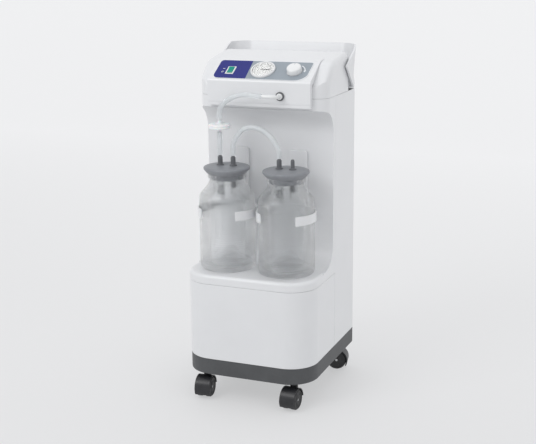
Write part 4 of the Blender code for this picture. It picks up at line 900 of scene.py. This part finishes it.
# ---- vacuum port ----
def port():
    profile = softened([(0.0048, 0.0013), (0.0086, 0.0013), (0.0086, 0.0040), (0.0100, 0.0040),
                        (0.0106, 0.0032), (0.0106, GAP), (0.0060, GAP), (0.0060, -0.006),
                        (0.0048, -0.006)], 0.0004)
    ring = lathe("port_ring", profile, 72, closed=True)
    to_port = Matrix.Translation((PORT_X, FASCIA_FRONT_Y, PORT_Z)) @ Matrix.Rotation(math.pi / 2, 4, "X")
    ring.data.transform(to_port)
    piece(ring, "nipple", nodes=["vacuum_port"])
    cuff = lathe("elbow_cuff", softened([(0, 0.0018), (0.0066, 0.0018), (0.0075, 0.0024), (0.0075, 0.0070),
                                         (0.0062, 0.0080), (0, 0.0080)], 0.0006), 64)
    cuff.data.transform(to_port)
    points = [(PORT_X, FASCIA_FRONT_Y - 0.0005, PORT_Z)]
    bend = 0.014
    centre_x, centre_y = PORT_X - bend, -0.0975 + bend
    for i in range(25):
        angle = math.radians(90 * i / 24)
        points.append((centre_x + bend * math.cos(angle), centre_y - bend * math.sin(angle),
                       PORT_Z + 0.002 * i / 24))
    points.append((0.021, -0.0975, PORT_Z + 0.002))
    elbow = as_mesh("elbow_tube", tube("elbow_curve", points, 0.0044))
    body = merge("port_elbow_body", [elbow, cuff])
    piece(body, "control", nodes=["port_elbow"])


port()


# ---- jars ----
def jar(side, sign):
    r, wall, neck = JAR_RADIUS, JAR_WALL, JAR_NECK_RADIUS
    lip = neck + 0.002
    base, shoulder, throat, mouth = JAR_BASE_Z, JAR_SHOULDER_Z, JAR_NECK_Z, JAR_MOUTH_Z
    outer = softened([(neck - wall, mouth), (neck - 0.001, mouth), (lip, mouth - 0.002),
                      (lip, mouth - 0.009), (neck, mouth - 0.011), (neck, throat + 0.001),
                      (neck + 0.004, throat - 0.006), (r - 0.010, shoulder + 0.015),
                      (r - 0.0025, shoulder + 0.006), (r - 0.0002, shoulder - 0.003)], 0.007, 8)
    ribs_top, ribs_low, pitch = shoulder - 0.007, base + 0.016, 0.0052
    count = int((ribs_top - ribs_low) / pitch) * 8
    for i in range(count + 1):
        height = ribs_top - (ribs_top - ribs_low) * i / count
        wave = 0.5 - 0.5 * math.cos(2 * math.pi * i / 8)
        outer.append((r - 0.00075 * (1 - wave) - 0.00005, height))
    outer += softened([(r - 0.0003, base + 0.012), (r, base + 0.009), (r - 0.0022, base + 0.002),
                       (r - 0.009, base + 0.0001), (r - 0.014, base + 0.0012)], 0.003, 5)
    outer += [(0, base + 0.0016)]
    inner = [(0, base + 0.0085)]
    inner += softened([(0.02, base + 0.0082), (r - 0.016, base + 0.0080), (r - wall, base + 0.019),
                       (r - wall, shoulder - 0.004), (r - 0.012, shoulder + 0.010),
                       (neck - wall + 0.003, throat - 0.008), (neck - wall, throat),
                       (neck - wall, mouth - 0.001)], 0.009, 8)
    glass = lathe(f"jar_glass_{side}", inner + outer, 144, centre=(sign * JAR_X, JAR_Y, 0))
    piece(glass, "glass", nodes=[f"jar_{side}"], sharp=60, weighted=False)


def lid(side, sign):
    mouth, top, tip = JAR_NECK_RADIUS - JAR_WALL, LID_TOP_Z, NIPPLE_TOP_Z
    profile = softened([(0, top - 0.0002), (0.030, top), (LID_RADIUS - 0.004, top - 0.0016),
                        (LID_RADIUS, top - 0.0036), (LID_RADIUS, top - 0.0078),
                        (JAR_NECK_RADIUS + 0.003, JAR_MOUTH_Z + GAP), (mouth - GAP, JAR_MOUTH_Z + GAP),
                        (mouth - 0.0015, 0.540), (0, 0.540)], 0.0022, 6)
    stopper = lathe(f"stopper_{side}", profile, 128, centre=(sign * JAR_X, JAR_Y, 0))
    tools = [rod("bore", NIPPLE_RADIUS + GAP, 0.5, 0.6, 40, centre=(sign * JAR_X + offset, JAR_Y, 0))
             for offset in (-NIPPLE_OFFSET, NIPPLE_OFFSET)]
    cut(stopper, *tools)
    piece(stopper, "lid", nodes=[f"jar_lid_{side}"])
    for port_name, offset in (("in", NIPPLE_OFFSET), ("out", -NIPPLE_OFFSET)):
        r = NIPPLE_RADIUS
        collar = 0.0047 if port_name == "in" and sign > 0 else 0.0060
        outline = [(0, tip), (r - 0.0010, tip), (r, tip - 0.0025),
                   (r - 0.0001, tip - 0.0031), (collar - 0.0003, tip - 0.0036),
                   (collar, tip - 0.0042), (collar, top + 0.0034), (0.0088, top + 0.0022),
                   (0.0092, top + 0.0012), (0.0092, top + GAP), (r, top + GAP)]
        if port_name == "in":
            outline += [(r, 0.5385), (0.0056, 0.5370), (0.0056, 0.517), (0, 0.517)]
        else:
            outline += [(r, 0.5325), (0, 0.5325)]
        nipple = lathe(f"nipple_{port_name}let_{side}", softened(outline, 0.0005, 3), 48,
                       centre=(sign * JAR_X + offset, JAR_Y, 0))
        piece(nipple, "nipple", nodes=[f"{port_name}let_nipple_{side}"])


def float_valve(side, sign):
    x, top = sign * JAR_X - NIPPLE_OFFSET, 0.5322
    low = top - 0.0302
    high = low + 0.020
    profile = softened([(0, high), (0.0045, high - 0.0006), (0.0072, high - 0.006), (0.0072, low + 0.002),
                        (0.006, low), (0, low)], 0.0015, 5)
    ball = lathe(f"float_body_{side}", profile, 48, centre=(x, JAR_Y, 0))
    piece(ball, "float", f"{side}_float", nodes=[f"float_{side}"])


def clip(side, sign):
    x = sign * JAR_X
    outer_r, inner_r = 0.0724, 0.0696
    opening = 270 + 38
    boss = 0.012
    boss_angle = math.degrees(math.asin(boss / outer_r))
    wall_y = COLUMN_FRONT_Y - 0.0075 - 2 * GAP - JAR_Y
    outline = arc((0, 0), outer_r, opening - 360, 90 - boss_angle, 60)
    outline += [(boss, wall_y), (-boss, wall_y)]
    outline += arc((0, 0), outer_r, 90 + boss_angle, 540 - opening, 60)
    outline += arc((0, 0), inner_r, 540 - opening, opening - 360, 120)
    band = prism(f"clip_band_{side}", [(x + u, JAR_Y + v) for u, v in outline], 0.4500, 0.4725)
    ease(band, 0.0006, 3, 40)
    piece(band, "shell", nodes=[f"jar_clip_{side}"])
    low, high, corner, half = 0.440, 0.604, 0.006, 0.023
    plate = arc((x - half + corner, low + corner), corner, 180, 270, 8)
    plate += arc((x + half - corner, low + corner), corner, 270, 360, 8)
    plate += arc((x + half - corner, high - corner), corner, 0, 90, 8)
    plate += arc((x - half + corner, high - corner), corner, 90, 180, 8)
    front = COLUMN_FRONT_Y - GAP - 0.0075
    back_plate = prism(f"clip_mount_{side}", plate, front, COLUMN_FRONT_Y - GAP, "Y")
    ease(back_plate, 0.0012, 4, 60)
    piece(back_plate, "shell", nodes=[f"clip_plate_{side}"])


for side_name, side_sign in (("left", -1), ("right", 1)):
    jar(side_name, side_sign)
    lid(side_name, side_sign)
    float_valve(side_name, side_sign)
    clip(side_name, side_sign)


# ---- casters ----
def caster(name, x, y, heading):
    turn = Matrix.Translation((x, y, 0)) @ Matrix.Rotation(math.radians(heading), 4, "Z")
    outer_half = WHEEL_GAP / 2 + 2 * GAP + WHEEL_WIDTH
    inner = 0.0263
    fender = arc((TRAIL, AXLE_Z), HOOD_RADIUS, -32, 178, 48) + arc((TRAIL, AXLE_Z), inner, 178, -32, 48)
    hood = prism(f"{name}_hood_moulding", fender, -outer_half, outer_half, "Y")
    ease(hood, 0.0009, 3, 50)
    web = prism("web", arc((TRAIL, AXLE_Z), inner + 0.001, -25, 215, 48), -WHEEL_GAP / 2, WHEEL_GAP / 2, "Y")
    stem = rod("stem", 0.0055, 0.040, BASE_BOTTOM + 0.009, 32)
    collar = lathe("collar", softened([(0, 0.030), (0.0095, 0.030), (0.0095, 0.0565), (0.0085, 0.0600),
                                       (0.0085, BASE_BOTTOM - 0.002), (0, BASE_BOTTOM - 0.002)], 0.001), 48)
    join(hood, web, collar, stem)
    spaces = []
    for low, high in ((WHEEL_GAP / 2, outer_half + 0.01), (-outer_half - 0.01, -WHEEL_GAP / 2)):
        spaces.append(rod("space", inner - 1e-5, low, high, 96, "Y", (TRAIL, 0, AXLE_Z)))
    spaces.append(rod("bore", 0.0035, -0.01, 0.01, 32, "Y", (TRAIL, 0, AXLE_Z)))
    cut(hood, *spaces)
    hood.data.transform(turn)
    piece(hood, "nylon", f"{name}_swivel", nodes=[f"caster_{name}_hood"])
    for label_name, side, letter in (("inner", 1, "a"), ("outer", -1, "b")):
        near = WHEEL_GAP / 2 + GAP
        far = near + WHEEL_WIDTH
        r = AXLE_Z - 0.0001
        profile = softened([(0.0034, near), (r - 0.0015, near), (r, near + 0.0015), (r, far - 0.0035),
                            (r - 0.0030, far - 0.0002), (r - 0.0052, far), (r - 0.0060, far - 0.0011),
                            (0.0125, far - 0.0016), (0.0112, far - 0.0006), (0.0088, far - 0.0002),
                            (0.0034, far - 0.0002)], 0.0006, 3)
        wheel = lathe(f"{name}_{label_name}_tyre", [(u, v * side) for u, v in profile], 96, "Y", closed=True)
        spokes = []
        for index in range(5):
            low, high = sorted(((far - 0.0019) * side, (far - 0.0006) * side))
            spoke = block("spoke", (0.0105, low, -0.0013), (0.0195, high, 0.0013), 0.0004, 2)
            spoke.data.transform(Matrix.Rotation(math.radians(72 * index), 4, "Y"))
            spokes.append(spoke)
        wheel = merge(f"{name}_{label_name}_tyre", [wheel] + spokes)
        wheel.data.transform(turn @ Matrix.Translation((TRAIL, 0, AXLE_Z)))
        piece(wheel, "tread", f"{name}_wheel_{letter}", nodes=[f"caster_{name}_wheel_{label_name}"])


for entry in CASTERS:
    caster(*entry)


# ---- rear fittings and the drive inside ----
def screw(name, x, y, z, turn):
    """A pan-head screw with a cross recess, its axis along -Y turned onto the given face."""
    head = lathe(name, softened([(0, 0.0016), (0.0016, 0.00155), (0.0030, 0.0010), (0.0034, 0.0), (0, 0.0)],
                                0.0004, 4), 32)
    tools = [block("cross", (-0.0016, -0.0003, 0.0006), (0.0016, 0.0003, 0.003)),
             block("cross", (-0.0003, -0.0016, 0.0006), (0.0003, 0.0016, 0.003))]
    cut(head, *tools)
    head.data.transform(Matrix.Translation((x, y, z)) @ turn)
    return head


def rear_fittings():
    to_rear = Matrix.Rotation(-math.pi / 2, 4, "X")
    heads = [screw("rear_screw", sx * 0.150, REAR_Y + 0.0001, z, to_rear)
             for sx in (-1, 1) for z in (0.130, 0.410, 0.700)]
    piece(merge("rear_screws", heads), "steel")
    pins = [block("inlet_pin", (0.105 + dx - 0.001, 0.1605, 0.1675 + dz - 0.0022),
                  (0.105 + dx + 0.001, 0.1690, 0.1675 + dz + 0.0022), 0.0003, 1)
            for dx, dz in ((-0.007, -0.002), (0.007, -0.002), (0.0, 0.004))]
    piece(merge("inlet_pins", pins), "brass")


rear_fittings()
CARRIED = {
    "regulator_valve": "brass", "float_cage_left": "clear", "float_cage_right": "clear",
    "pump_plate": "steel", "pump_block": "cast", "motor": "motor", "motor_fan": "steel",
    "power_inlet": "nylon", "rear_vent": "base",
}
for name, *_ in CASTERS:
    CARRIED[f"caster_{name}_axle"] = "steel"
for node, finish in CARRIED.items():
    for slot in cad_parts[node].material_slots:
        slot.material = MATS[finish]


# ---- floor and light ----
def floor():
    shape = bmesh.new()
    rows = []
    curve = [(-9.0, 0.0), (3.2, 0.0)] + arc((3.2, 1.6), 1.6, -90, 0, 24) + [(4.8, 9.0)]
    for y, z in curve:
        rows.append([shape.verts.new((x, y, z)) for x in (-12.0, 12.0)])
    for a, b in zip(rows, rows[1:]):
        shape.faces.new((a[0], a[1], b[1], b[0]))
    sweep = from_shape("studio_floor", shape)
    # Painted light: the paper glows, which lifts the shade under the pump and lightens the backdrop.
    glowing_paper = surface("glowing_studio_paper", (0.30, 0.30, 0.302), 0.75, vary=0.006, patch=1.5, grain=60, bump=0.02,
                    Emission_Color=(0.985, 0.99, 1.0, 1.0))
    tree = glowing_paper.node_tree
    place, split = add_node(tree, "TexCoord"), add_node(tree, "SeparateXYZ")
    # Painted glow: the emission strength rises with Y, from 0.45 at the front to 0.63 at the back.
    glow = add_node(tree, "MapRange", From_Min=-0.6, From_Max=4.6, To_Min=0.45, To_Max=0.63)
    tree.links.new(place.outputs["Object"], split.inputs["Vector"])
    tree.links.new(split.outputs["Y"], glow.inputs["Value"])
    tree.links.new(glow.outputs["Result"], tree.nodes["Principled BSDF"].inputs["Emission Strength"])
    sweep.data.materials.append(glowing_paper)
    sweep.data.shade_smooth()


def area_light(name, place, target, size, energy, colour=(1, 1, 1)):
    data = bpy.data.lights.new(name, "AREA")
    data.shape = "RECTANGLE"
    data.size, data.size_y = size
    data.energy = energy
    data.color = colour
    obj = link(bpy.data.objects.new(name, data))
    direction = Vector(target) - Vector(place)
    obj.matrix_world = Matrix.Translation(place) @ direction.to_track_quat("-Z", "Y").to_matrix().to_4x4()


floor()
area_light("key_light", (-1.0, -1.7, 2.0), (0, 0, 0.70), (1.2, 1.2), 16)
area_light("fill_light", (2.6, -1.0, 1.6), (0, 0, 0.5), (1.6, 2.0), 5)
area_light("top_light", (0.0, 0.4, 3.2), (0, 0, 0.4), (2.4, 2.4), 8)
world = bpy.data.worlds.new("studio")
world.use_nodes = True
backdrop = world.node_tree.nodes["Background"]
backdrop.inputs["Color"].default_value = (0.98, 0.985, 1.0, 1)
backdrop.inputs["Strength"].default_value = 0.74
bpy.context.scene.world = world
bpy.context.scene.view_settings.view_transform = "Standard"
